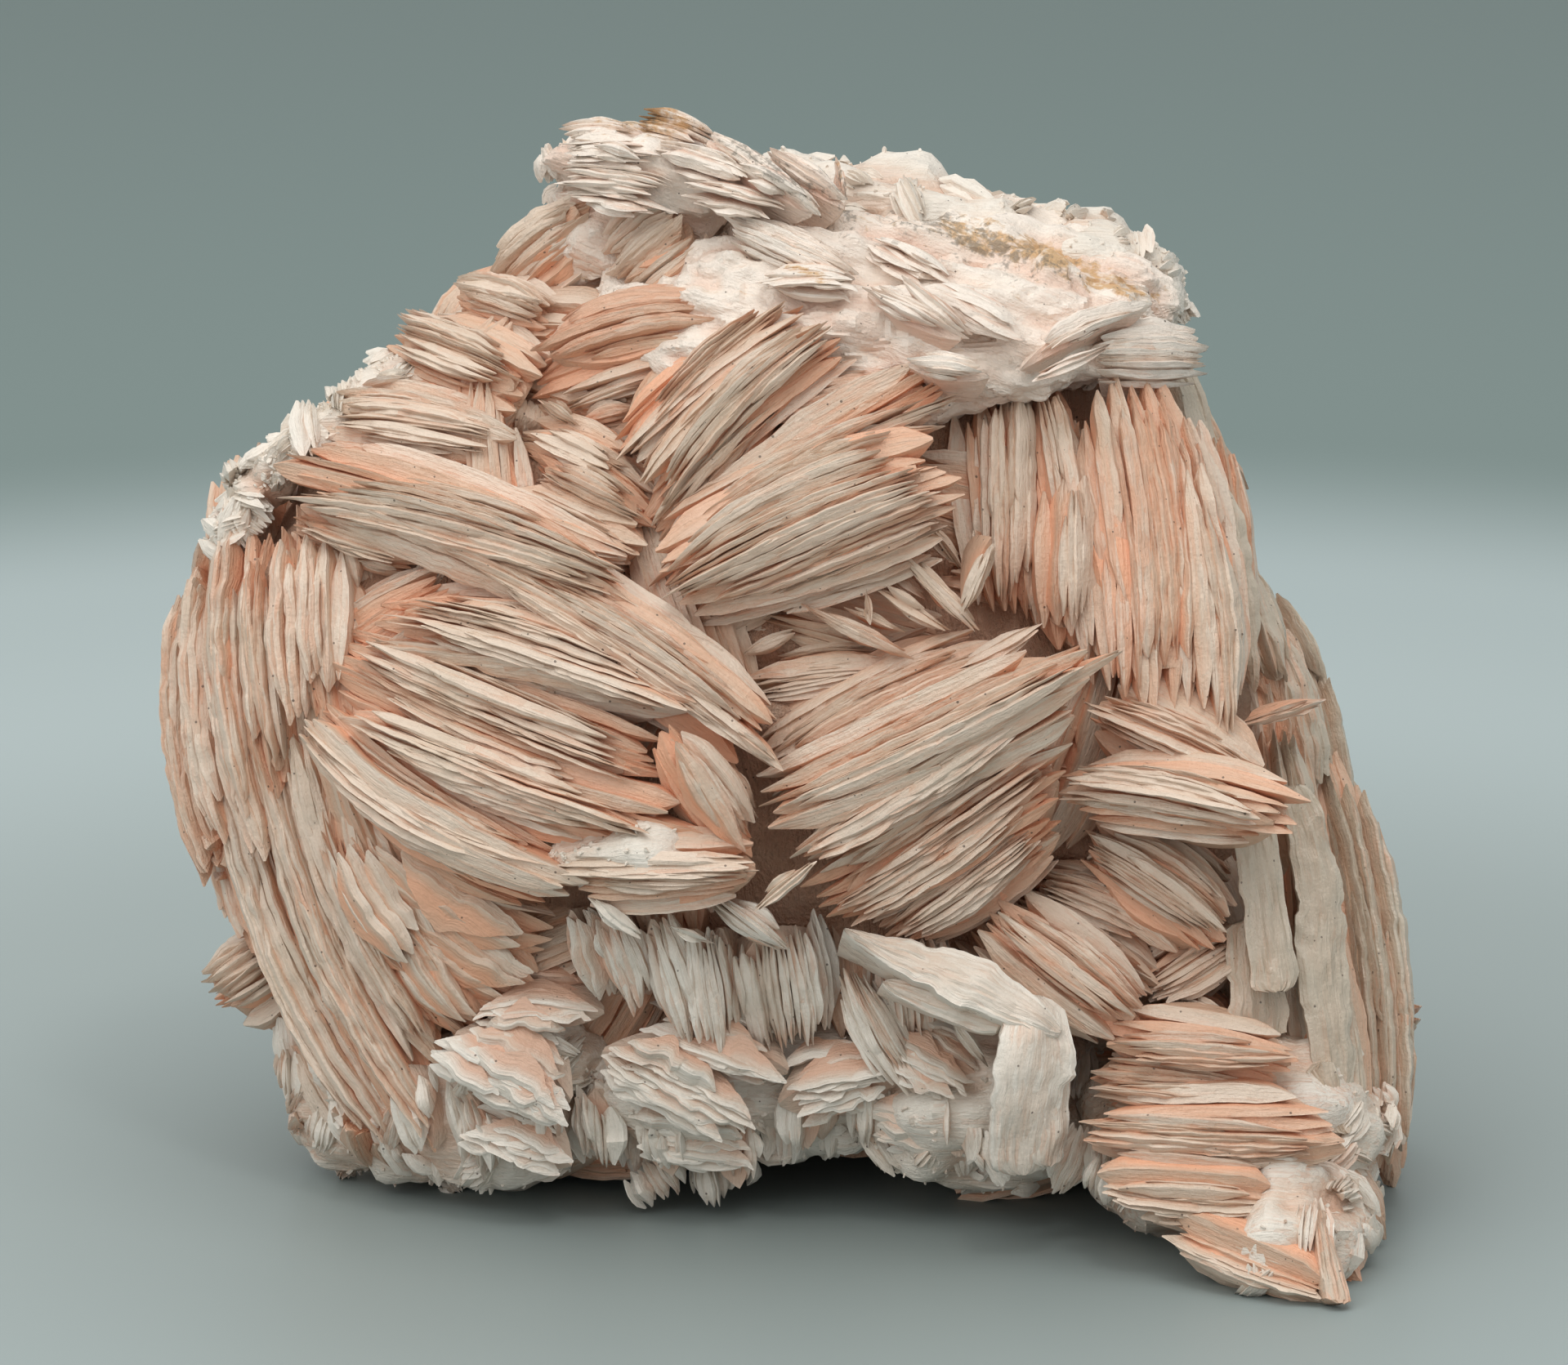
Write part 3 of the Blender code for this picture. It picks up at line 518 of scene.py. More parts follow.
def mixColours(tree, factor, first, second):
    node = addNode(tree, "Mix", data_type="RGBA")
    sockets = {socket.identifier: socket for socket in node.inputs}
    wire(tree, (factor, sockets["Factor_Float"]), (first, sockets["A_Color"]), (second, sockets["B_Color"]))
    return node.outputs[2]


def calculate(tree, operation, first, second, third=0.0):
    node = addNode(tree, "Math", operation=operation)
    for socket, value in zip(node.inputs, (first, second, third)):
        give(tree, socket, value)
    return node.outputs[0]


def remap(tree, value, low, high, toLow=0.0, toHigh=1.0):
    node = addNode(tree, "MapRange", {"From Min": low, "From Max": high}, clamp=True)
    give(tree, node.inputs["To Min"], toLow)
    give(tree, node.inputs["To Max"], toHigh)
    give(tree, node.inputs["Value"], value)
    return node.outputs[0]


# The place along, across and below the rim of each blade, with a scale for each way
def streakPlace(tree, stretch):
    place = addNode(tree, "Attribute", attribute_name="streak")
    scaled = addNode(tree, "VectorMath", operation="MULTIPLY")
    scaled.inputs[1].default_value = stretch
    wire(tree, (place.outputs["Vector"], scaled.inputs[0]))
    return scaled.outputs[0]


# Noise drawn out along each blade
def streakNoise(tree, stretch, detail=3.0):
    place = streakPlace(tree, stretch)
    noise = addNode(tree, "TexNoise", {"Scale": 1.0, "Detail": detail, "Roughness": 0.6})
    wire(tree, (place, noise.inputs["Vector"]))
    return noise.outputs["Fac"]


# Long narrow cells along each blade, each with a value of its own: the ends of thin sheets
flakeStretch = (0.36, 2.6, 2.8)


def flakeCells(tree):
    place = streakPlace(tree, flakeStretch)
    cells = addNode(tree, "TexVoronoi", {"Scale": 1.0})
    split = addNode(tree, "SeparateColor")
    wire(tree, (place, cells.inputs["Vector"]), (cells.outputs["Color"], split.inputs[0]))
    return split.outputs[0]


def placeNoise(tree, scale, detail=3.0):
    place = addNode(tree, "TexCoord")
    noise = addNode(tree, "TexNoise", {"Detail": detail, "Roughness": 0.6})
    wire(tree, (place.outputs["Object"], noise.inputs["Vector"]))
    give(tree, noise.inputs["Scale"], scale)
    return noise.outputs["Fac"]


# From where to where each colour comes in, and then how faint and how strong it is. The rim's painted
# highlight, the crevice's painted shade and glow, and the root go by the depth below the rim, pale and
# salmon by the tone, grey by noise.
toneSteps = {
    "rim": (0.0, 0.30),
    "pale": (0.0, 1.3, 0.0, 0.85),
    "salmon": (0.0, -1.4, 0.0, 0.85),
    "grey": (0.50, 0.72, 0.0, 0.4),
    "paintedShade": (0.22, 0.75),
    "root": (1.2, 2.6, 0.0, 0.8),
}


def bladeToneGroup():
    # The rim colour is a painted highlight; the crevice colour is painted shade and the glow of light
    # between the blades
    tree, given, result = newGroup("blade tone", (
        ("Rim Highlight", (0.80, 0.65, 0.53, 1.0)), ("Body", (0.665, 0.465, 0.335, 1.0)),
        ("Salmon", (0.70, 0.375, 0.235, 1.0)),
        ("Crevice Shade And Glow", (0.87, 0.46, 0.29, 1.0)), ("Grey", (0.60, 0.475, 0.35, 1.0)),
        ("Patchiness", 2.2), ("Streakiness", 2.6), ("Flakiness", 1.1)), (("Colour", "Color"),))
    depth = addNode(tree, "Attribute", attribute_name="paintedShade").outputs["Fac"]
    tone = addNode(tree, "Attribute", attribute_name="tone").outputs["Fac"]
    patches = calculate(tree, "SUBTRACT", placeNoise(tree, 150.0), 0.5)
    streaks = calculate(tree, "SUBTRACT", streakNoise(tree, (0.30, 3.6, 2.4)), 0.5)
    total = calculate(tree, "MULTIPLY_ADD", patches, given["Patchiness"], tone)
    total = calculate(tree, "MULTIPLY_ADD", streaks, given["Streakiness"], total)
    flakes = calculate(tree, "SUBTRACT", flakeCells(tree), 0.5)
    total = calculate(tree, "MULTIPLY_ADD", flakes, given["Flakiness"], total)
    highlightPart = calculate(tree, "ADD", depth, calculate(tree, "MULTIPLY", streaks, 0.35))
    colour = mixColours(tree, remap(tree, highlightPart, *toneSteps["rim"]), given["Rim Highlight"], given["Body"])
    colour = mixColours(tree, remap(tree, total, *toneSteps["pale"]), colour, given["Rim Highlight"])
    colour = mixColours(tree, remap(tree, total, *toneSteps["salmon"]), colour, given["Salmon"])
    greyness = remap(tree, placeNoise(tree, 95.0, 2.0), *toneSteps["grey"])
    colour = mixColours(tree, greyness, colour, given["Grey"])
    colour = mixColours(tree, remap(tree, depth, *toneSteps["paintedShade"]), colour, given["Crevice Shade And Glow"])
    colour = mixColours(tree, remap(tree, depth, *toneSteps["root"]), colour, given["Body"])
    wire(tree, (colour, result["Colour"]))
    return tree


def specksGroup():
    tree, given, result = newGroup("pepper specks", (
        ("Colour", (0.8, 0.6, 0.5, 1.0)), ("Speck", (0.11, 0.07, 0.05, 1.0)),
        ("Scale", 1700.0), ("Size", 0.14), ("Amount", 0.09)), (("Colour", "Color"),))
    place = addNode(tree, "TexCoord")
    cells = addNode(tree, "TexVoronoi")
    split = addNode(tree, "SeparateColor")
    wire(tree, (place.outputs["Object"], cells.inputs["Vector"]), (given["Scale"], cells.inputs["Scale"]),
         (cells.outputs["Color"], split.inputs[0]))
    size = calculate(tree, "MULTIPLY", given["Size"], calculate(tree, "ADD", split.outputs[1], 0.5))
    inside = calculate(tree, "LESS_THAN", cells.outputs["Distance"], size)
    chosen = calculate(tree, "LESS_THAN", split.outputs[0], given["Amount"])
    both = calculate(tree, "MULTIPLY", inside, chosen)
    both = calculate(tree, "MULTIPLY", both, 0.8)    # a speck lets a little colour through
    wire(tree, (mixColours(tree, both, given["Colour"], given["Speck"]), result["Colour"]))
    return tree


def grainGroup():
    tree, given, result = newGroup("crystal grain", (
        ("Scale", 2400.0), ("Streak Height", 1.0), ("Grain Height", 0.7), ("Flake Height", 0.7),
        ("Roughness Low", 0.32), ("Roughness High", 0.6), ("Glint", 0.06)),
        (("Height", "Float"), ("Roughness", "Float")))
    fine = placeNoise(tree, given["Scale"], 4.0)
    streaks = streakNoise(tree, (0.30, 3.4, 3.4), 3.0)
    height = calculate(tree, "MULTIPLY", streaks, given["Streak Height"])
    height = calculate(tree, "MULTIPLY_ADD", fine, given["Grain Height"], height)
    flakes = flakeCells(tree)
    height = calculate(tree, "MULTIPLY_ADD", flakes, given["Flake Height"], height)
    rough = remap(tree, placeNoise(tree, 420.0, 2.0), 0.35, 0.65,
                  given["Roughness Low"], given["Roughness High"])
    shiny = calculate(tree, "LESS_THAN", flakes, given["Glint"])
    rough = calculate(tree, "MULTIPLY_ADD", shiny, -0.28, rough)    # some sheets glint
    rough = calculate(tree, "MAXIMUM", rough, 0.1)
    wire(tree, (height, result["Height"]), (rough, result["Roughness"]))
    return tree


def stainGroup():
    tree, given, result = newGroup("mineral stain", (
        ("Colour", (0.8, 0.6, 0.5, 1.0)), ("Stain", (0.60, 0.36, 0.15, 1.0)), ("Mask", 0.0),
        ("Breakup", 900.0), ("Strength", 0.8)), (("Colour", "Color"),))
    streaks = streakNoise(tree, (0.5, 1.6, 1.6), 4.0)
    cover = calculate(tree, "ADD", streaks, placeNoise(tree, given["Breakup"], 3.0))
    cover = calculate(tree, "MULTIPLY_ADD", calculate(tree, "SUBTRACT", cover, 1.0), 1.1, given["Mask"])
    factor = calculate(tree, "MULTIPLY", remap(tree, cover, 0.28, 0.52), given["Strength"])
    wire(tree, (mixColours(tree, factor, given["Colour"], given["Stain"]), result["Colour"]))
    return tree


groups = {"tone": bladeToneGroup(), "specks": specksGroup(), "grain": grainGroup(), "stain": stainGroup()}


def placeGroup(tree, group, values=()):
    node = tree.nodes.new("ShaderNodeGroup")
    node.node_tree = groups[group]
    for key, value in dict(values).items():
        node.inputs[key].default_value = value
    return node


def bariteMaterial(name, tone, specks, grain, shader, bump, stains=()):
    material = bpy.data.materials.new(name)
    material.use_nodes = True
    tree = material.node_tree
    surface = tree.nodes["Principled BSDF"]
    for key, value in shader.items():
        surface.inputs[key].default_value = value
    colour = placeGroup(tree, "tone", tone).outputs["Colour"]
    for attribute, values in stains:
        stain = placeGroup(tree, "stain", values)
        mask = addNode(tree, "Attribute", attribute_name=attribute)
        wire(tree, (colour, stain.inputs["Colour"]), (mask.outputs["Fac"], stain.inputs["Mask"]))
        colour = stain.outputs["Colour"]
    specksNode = placeGroup(tree, "specks", specks)
    grainNode = placeGroup(tree, "grain", grain)
    bumpNode = addNode(tree, "Bump", {"Strength": bump[0], "Distance": bump[1]})
    wire(tree,
         (colour, specksNode.inputs["Colour"]),
         (specksNode.outputs["Colour"], surface.inputs["Base Color"]),
         (grainNode.outputs["Roughness"], surface.inputs["Roughness"]),
         (grainNode.outputs["Height"], bumpNode.inputs["Height"]),
         (bumpNode.outputs["Normal"], surface.inputs["Normal"]))
    return material


# In each material the rim colour is a painted highlight and the crevice colour painted shade and glow
# between the blades
pinkBlades = bariteMaterial(
    "pinkBlades", {}, {}, {}, {"Specular IOR Level": 0.45, "IOR": 1.6}, (0.8, 0.00026))

whiteCrust = bariteMaterial(
    "whiteCrust",
    {"Rim Highlight": (0.87, 0.79, 0.70, 1.0), "Body": (0.74, 0.59, 0.475, 1.0), "Crevice Shade And Glow": (0.74, 0.46, 0.33, 1.0),
     "Grey": (0.64, 0.56, 0.46, 1.0)},
    {"Amount": 0.08}, {"Roughness Low": 0.25, "Roughness High": 0.6, "Grain Height": 0.6},
    {"Specular IOR Level": 0.5, "IOR": 1.6}, (0.7, 0.00028))

capFinish = bariteMaterial(
    "stainedCap",
    {"Rim Highlight": (0.92, 0.81, 0.715, 1.0), "Body": (0.87, 0.72, 0.61, 1.0), "Crevice Shade And Glow": (0.82, 0.56, 0.44, 1.0),
     "Grey": (0.74, 0.65, 0.56, 1.0)},
    {"Amount": 0.06}, {"Roughness Low": 0.35, "Roughness High": 0.65},
    {"Specular IOR Level": 0.45, "IOR": 1.6}, (0.8, 0.0003),
    (("ochre", {"Stain": (0.62, 0.36, 0.15, 1.0), "Strength": 0.85}),
     ("soot", {"Stain": (0.20, 0.17, 0.135, 1.0), "Breakup": 1900.0, "Strength": 0.7})))

glassyWall = bariteMaterial(
    "glassyWall",
    {"Rim Highlight": (0.63, 0.53, 0.42, 1.0), "Body": (0.56, 0.43, 0.32, 1.0), "Crevice Shade And Glow": (0.62, 0.41, 0.28, 1.0),
     "Grey": (0.52, 0.45, 0.35, 1.0)},
    {"Amount": 0.12}, {"Roughness Low": 0.16, "Roughness High": 0.5, "Grain Height": 0.7},
    {"Specular IOR Level": 0.6, "IOR": 1.64}, (0.6, 0.0003))

salmonHeart = bariteMaterial(
    "salmonHeart",
    {"Rim Highlight": (0.74, 0.59, 0.47, 1.0), "Body": (0.68, 0.48, 0.36, 1.0), "Crevice Shade And Glow": (0.70, 0.40, 0.27, 1.0)},
    {"Amount": 0.12}, {"Grain Height": 1.2}, {"Specular IOR Level": 0.35}, (0.9, 0.0009))
print("materials made")

# Ochre and dark stains on the cap: across, up, half length, half width, slope, strength
capStains = (
    ("ochre", ((9, 91, 7, 1.3, -20, 0.50), (17.5, 86, 6, 1.3, -20, 0.58),
               (22.5, 85, 8, 1.3, -20, 0.58), (28.5, 82.2, 5, 1.2, -15, 0.52),
               (2, 83, 2.5, 0.7, -30, 0.5), (-12, 96.8, 4.5, 1.5, -8, 0.62),
               (3, 93.5, 3.5, 0.9, -30, 0.5), (-21.3, 87.5, 0.8, 0.5, 0, 0.6),
               (14, 88.5, 9, 3, -22, 0.30))),
    ("soot", ((11, 88.8, 10, 2.2, -25, 0.44), (18, 85.5, 8, 2.2, -20, 0.44),
              (-1.5, 92.5, 7, 1.2, -35, 0.46), (5.5, 90, 1.2, 4, 0, 0.44),
              (-12, 96.6, 4.5, 1, -8, 0.42))))

# The pale cap and its left lobe. Rows: name, tail (across, up, out), head, width, bow
# to the left, how full tail and head are, and what differs from packetForm.
petal = {"lean": 48.0, "pitch": 0.52, "split": 4.0, "fill": 1.2, "tone": 0.7, "depth": 4.0, "bed": 0.0,
         "ragged": 2.4, "serration": 0.4, "wave": 0.3, "fan": 20.0, "tip": 2.4, "lift": 0.42}
capRows = (
    ("capLobe1", (-21.2, 96, 1), (-12.5, 95.8, 3), 3.4, 0.3, (0.5, 0.4), petal),
    ("capLobe2", (-20.8, 93.6, 4), (-9.5, 92.8, 6), 3.6, 0.4, (0.5, 0.4), petal),
    ("capLobe3", (-21.6, 91.6, 5), (-8.5, 90, 7), 3.2, 0.4, (0.4, 0.3), petal),
    ("capLobe4", (-14.5, 97.8, 1), (-5, 94.6, 4), 3, 0.3, (0.5, 0.4), petal),
    ("capLobe5", (-13, 94.6, 5), (-1.5, 90.6, 8), 3.6, 0.4, (0.4, 0.2), petal),
    ("capLobe6", (-11, 91, 7), (2, 87.6, 9), 3, 0.4, (0.4, 0.2), petal),
    ("capLobe7", (-19.8, 90, 5), (-9.5, 88, 7), 2.8, 0.3, (0.4, 0.3), petal),
    ("capLobe8", (-6, 92.6, 7), (3.5, 88.6, 9), 2.6, 0.3, (0.4, 0.2), petal),
    ("capPetalLeft", (-17.8, 94, 6), (-12, 92.7, 7), 2, 0.3, (0.3, 0.3), petal),
    ("capPetalMiddle", (-9, 94, 6), (-2, 90.8, 8), 2.5, 0.3, (0.3, 0.3), petal),
    ("capEdgeBlade1", (-8.5, 97, 4), (4.5, 87.8, 10), 2.5, 0, (0.2, 0.1), {"tone": 0.6}),
    ("capEdgeBlade2", (-2.5, 95.3, 1), (6.6, 89, 8), 2.2, 0, (0.2, 0.1), {"tone": 0.2}),
    ("capSpike", (4.4, 94.8, 0), (5.6, 89.5, 7), 0.9, 0, (0.3, 0.3), {"tone": -0.4}),
    ("capSlopeTop", (6, 92, -5), (19, 89, -7), 4, 0.5, (0.7, 0.5), petal),
    ("capPetalLow", (-3.4, 82.4, 10), (8, 81.5, 12), 3, 0, (0.1, 0.3), petal),
    ("capFlakes1", (5, 86.5, 6), (16, 81, 9), 3.2, 0.3, (0.4, 0.2), petal),
    ("capFlakes2", (11, 82, 11), (21.5, 76.8, 13), 3, 0.3, (0.4, 0.2), petal),
    ("capFlakes3", (24, 82.5, 1), (33.5, 79, 3), 3.4, 0.3, (0.4, 0.4), petal),
    ("capUnderside", (-6, 89, 6), (8, 82.5, 11), 5, 0, (0.5, 0.4), {"tone": 0.3}),
    ("capLow1", (5.5, 83, 11), (17, 77, 15), 3, 0, (0.3, 0.2), {"tone": 0.5}),
    ("capLow2", (8.5, 84.5, 12), (17.5, 77, 15), 1.6, 0, (0.3, 0.2), {"tone": 0.5}),
    ("capBottomLens", (9, 75.6, 14), (18.8, 74.3, 17), 2.5, 0, (0.3, 0.3), {"tone": 0.4}),
    ("capRightBlade", (19.2, 73.3, 17), (35, 81, 6), 2.4, 1.7, (0.1, 0.3), {"tone": 0.4}),
    ("capRightBladeLow", (20, 73.2, 17), (29, 77.2, 14), 1.5, 0, (0.1, 0.3), {"tone": 0.2}),
    ("capRightLens", (26, 77, 11), (38.6, 76.8, 2), 7, 0, (0.5, 0.8), {"tone": 0.3, "pitch": 0.68}),
)
growRows("capBlades", capRows, capFinish, 11, under=False, stains=capStains)

# The upper left, from the shoulder down to the crossing blades
upperRows = (
    ("shoulderMass", (-27, 83.5, -3), (-17.5, 90.5, 1), 5.5, 0.5, (0.6, 0.6), {"tone": 0.4}),
    ("shoulderSmall", (-30.5, 82.5, -3), (-20.5, 80.5, 3), 4, 0.5, (0.4, 0.3), {"tone": 0.3}),
    ("underCapDiagonal", (-16.5, 84.3, 2), (-9.5, 90, 4), 8.5, 0, (0.9, 0.8), {"pitch": 0.50}),
    ("uprightSticks", (-5, 87.3, 3), (-5, 79, 5), 7, 0, (0.9, 0.8), {"pitch": 0.62}),
    ("upperFan", (-23.5, 75.5, 6), (-4.5, 80, 9), 8, 1.5, (0.2, 0.9), {"tone": -1.3, "pitch": 0.6}),
    ("fanLow1", (-21, 70.8, 5), (-8, 74.3, 6), 3, 0.8, (0.3, 0.5), {"tone": -0.5}),
    ("fanLow2", (-19, 69.3, 5), (-12, 71.3, 6), 2.5, 0.5, (0.3, 0.5), {"tone": -0.5}),
    ("upperLeftLens", (-36, 79, -2), (-22.3, 73.2, 9), 8, 0, (0.9, 0.15)),
    ("upperLeftTop", (-30, 83, -2), (-20.5, 80, 4), 3.5, 0.5, (0.5, 0.3)),
    ("ladder", (-25.8, 74, 4), (-27.2, 70.8, 4), 11, 0, (0.9, 0.9), {"pitch": 0.84, "tone": 0.4}),
    ("ladderBlade", (-22, 72.8, 7), (-17.2, 69.3, 8), 1.8, 0, (0.3, 0.2)),
    ("leftUpperLens", (-42, 71, 1), (-23.8, 67.9, 10), 6, 0.7, (0.6, 0.35)),
    ("leftMidTop", (-44.5, 67.5, 2), (-25, 63.5, 9), 3.8, 0, (0.4, 0.3)),
    ("ladderLow", (-26.2, 67.8, 5), (-28.2, 63.8, 5), 3.5, 0, (0.9, 0.9), {"pitch": 0.74, "tone": 0.4}),
    ("crossing1", (-24, 69.7, 7), (-14.2, 65.3, 11), 3.2, 0.6, (0.3, 0.7)),
    ("crossing2", (-23, 67, 9), (-11.7, 61.3, 13), 4.5, 0, (0.3, 0.3)),
    ("crossing3", (-25.5, 64.2, 9), (-12, 58, 14), 4.2, 0, (0.3, 0.2)),
)
growRows("upperBlades", upperRows, pinkBlades, 12)

# The middle of the face: the big lens, the ridges that meet at its foot, the small crosses
fine = {"pitch": 0.38}
centreRows = (
    ("centreRiseOuter", (-14.8, 66, 12), (2.5, 82, 13), 3.5, 1.5, (0.2, 0.5), {"tone": -0.6}),
    ("centreRiseInner", (-12, 62, 14), (5.2, 79.5, 15), 4, 1.5, (0.2, 0.9), {"tone": 0.4}),
    ("centreRiseThin", (-12.5, 59.5, 12), (0.7, 73.6, 13), 4, 0.5, (0.2, 0.5), fine),
    ("centreUpperBack", (-4, 74.5, 9), (9, 78.5, 10), 4, 0.5, (0.4, 0.5)),
    ("centreUpperLens", (-3, 70, 12), (13.8, 73.6, 12), 4, 1, (0.2, 0.3)),
    ("centreBigLens", (-11.7, 54.3, 16), (15.8, 67, 19), 11.5, 1, (0.1, 0.9), fine),
    ("centreBigUpper", (-13.7, 56.3, 14), (17.3, 73, 15), 4.5, 1.5, (0.2, 0.2)),
    ("centreShadeLens", (-8, 51, 10), (1.5, 55, 10), 3, 0, (0.3, 0.3)),
    ("edgePlate", (-4.3, 49.5, 11), (2.5, 52.6, 11), 1.4, 0, (0.3, 0.3)),
    ("cross1", (0.3, 54.5, 12.5), (12.6, 49, 15), 1.6, 0, (0.1, 0.1)),
    ("cross2", (4, 54.6, 13), (11.5, 51.4, 14.5), 1.1, 0, (0.1, 0.1)),
    ("crossSpike", (7, 56.4, 13.5), (7.6, 51.8, 15.5), 0.8, 0, (0.1, 0.1)),
    ("cross3", (7.8, 58.4, 11.5), (13, 54.2, 12), 1.5, 0, (0.1, 0.1)),
    ("crossLens", (5.5, 57.4, 13), (16, 51, 16), 1.9, 0, (0.1, 0.1), {"tone": 0.3}),
    ("crossPlate", (8.6, 60.6, 12.5), (18.6, 50.1, 17), 1.8, 0, (0.2, 0.1), {"tone": 0.6}),
    ("cross5", (11.5, 62.5, 10.5), (16.4, 56.5, 11.5), 1.7, 0, (0.2, 0.1)),
    ("standout", (14.9, 52.3, 16), (18.4, 60.6, 19.5), 2.1, 0, (0.2, 0.1), {"tone": 1}),
    ("centreSmallLens", (-4.5, 46.5, 10), (10.5, 49, 13), 5.5, 0.5, (0.6, 0.4)),
    ("leftLongRidge", (-46.8, 63.9, 5), (-11, 54.6, 18), 6.5, 2, (0.2, 0.3)),
    ("ridgeLow", (-44, 62, 5), (-31, 57.5, 9), 3, 0, (0.3, 0.3)),
    ("centreDiagonal", (-29, 58.8, 13), (-0.3, 41, 19), 6.5, 1.2, (0.3, 0.25)),
    ("centreDiagonalEnd", (-5, 44, 18), (-0.1, 40.2, 19), 1.2, 0, (0.3, 0.2)),
    ("sticksMiddle", (-29, 60, 6), (-32.5, 54, 6), 4.5, 0, (0.8, 0.7), {"pitch": 0.74, "tone": 0.5}),
    ("sticksLeft", (-39.5, 60, 5), (-37.5, 54, 5), 3.5, 0, (0.8, 0.7), {"pitch": 0.74}),
    ("sticksCross", (-38, 58.5, 6), (-33, 57, 7), 1.5, 0, (0.3, 0.3)),
    ("centreLeftLens", (-38.6, 54.2, 10), (-6, 44.1, 20), 6.5, 1.8, (0.15, 0.15), fine),
    ("centreLeftUpper", (-29.5, 53.8, 11), (-12, 48.3, 17), 2.5, 0, (0.3, 0.3)),
    ("leftFan", (-41.3, 51.5, 9), (-9.5, 38.3, 19), 8.5, -0.5, (0.25, 0.5), fine),
    ("lowerLeftRidge", (-42, 46.5, 10), (-8, 33.3, 20), 6, -0.7, (0.2, 0.3), {"tone": -0.2}),
    ("lowerLeftFront", (-44.7, 46.5, 9), (-17, 31, 18), 6, -3, (0.2, 0.4)),
    ("lowerRidge", (-21, 31.5, 17), (-0.3, 30.8, 20), 4, 0, (0.6, 0.1), {"tone": 0.8}),
    ("standingPlate1", (-2.4, 31.8, 18), (-10.2, 43.7, 21), 2.4, 0, (0.1, 0.1),
     {"lean": 25, "pitch": 0.74}),
    ("standingPlate2", (-2.2, 33, 17), (-8.5, 42.6, 19), 1.8, 0, (0.1, 0.1), {"lean": 25}),
    ("standingPlate3", (-1.8, 35, 15), (-6, 41.2, 17), 2, 0, (0.1, 0.1)),
    ("ridgeBack", (-3, 38.5, 13), (20.5, 50.5, 15), 8, 0.5, (0.3, 0.4)),
    ("ridgeBackTip", (14, 48, 14), (23.4, 53, 15), 2, 0, (0.3, 0.2)),
    ("rightCentreRidge", (-3.5, 35, 17), (28.4, 51, 26), 6, -0.8, (0.3, 0.1), {"depth": 12}),
    ("rightCentreSecond", (-1, 31.5, 17), (25, 47.4, 23), 5, -0.5, (0.3, 0.2), {"depth": 11}),
    ("lowerCentreLens", (2, 26.5, 14), (25, 42, 21), 10, 0, (0.6, 0.5)),
    ("lowerCentreSmall", (8, 24.5, 13), (23, 35, 17), 5, 0, (0.5, 0.4)),
    ("spear", (-3.8, 26.8, 20), (3.5, 33.1, 21), 1.8, 0, (0.1, 0.2), {"tone": 0.5, "depth": 10}),
)
growRows("centreBlades", centreRows, pinkBlades, 13)

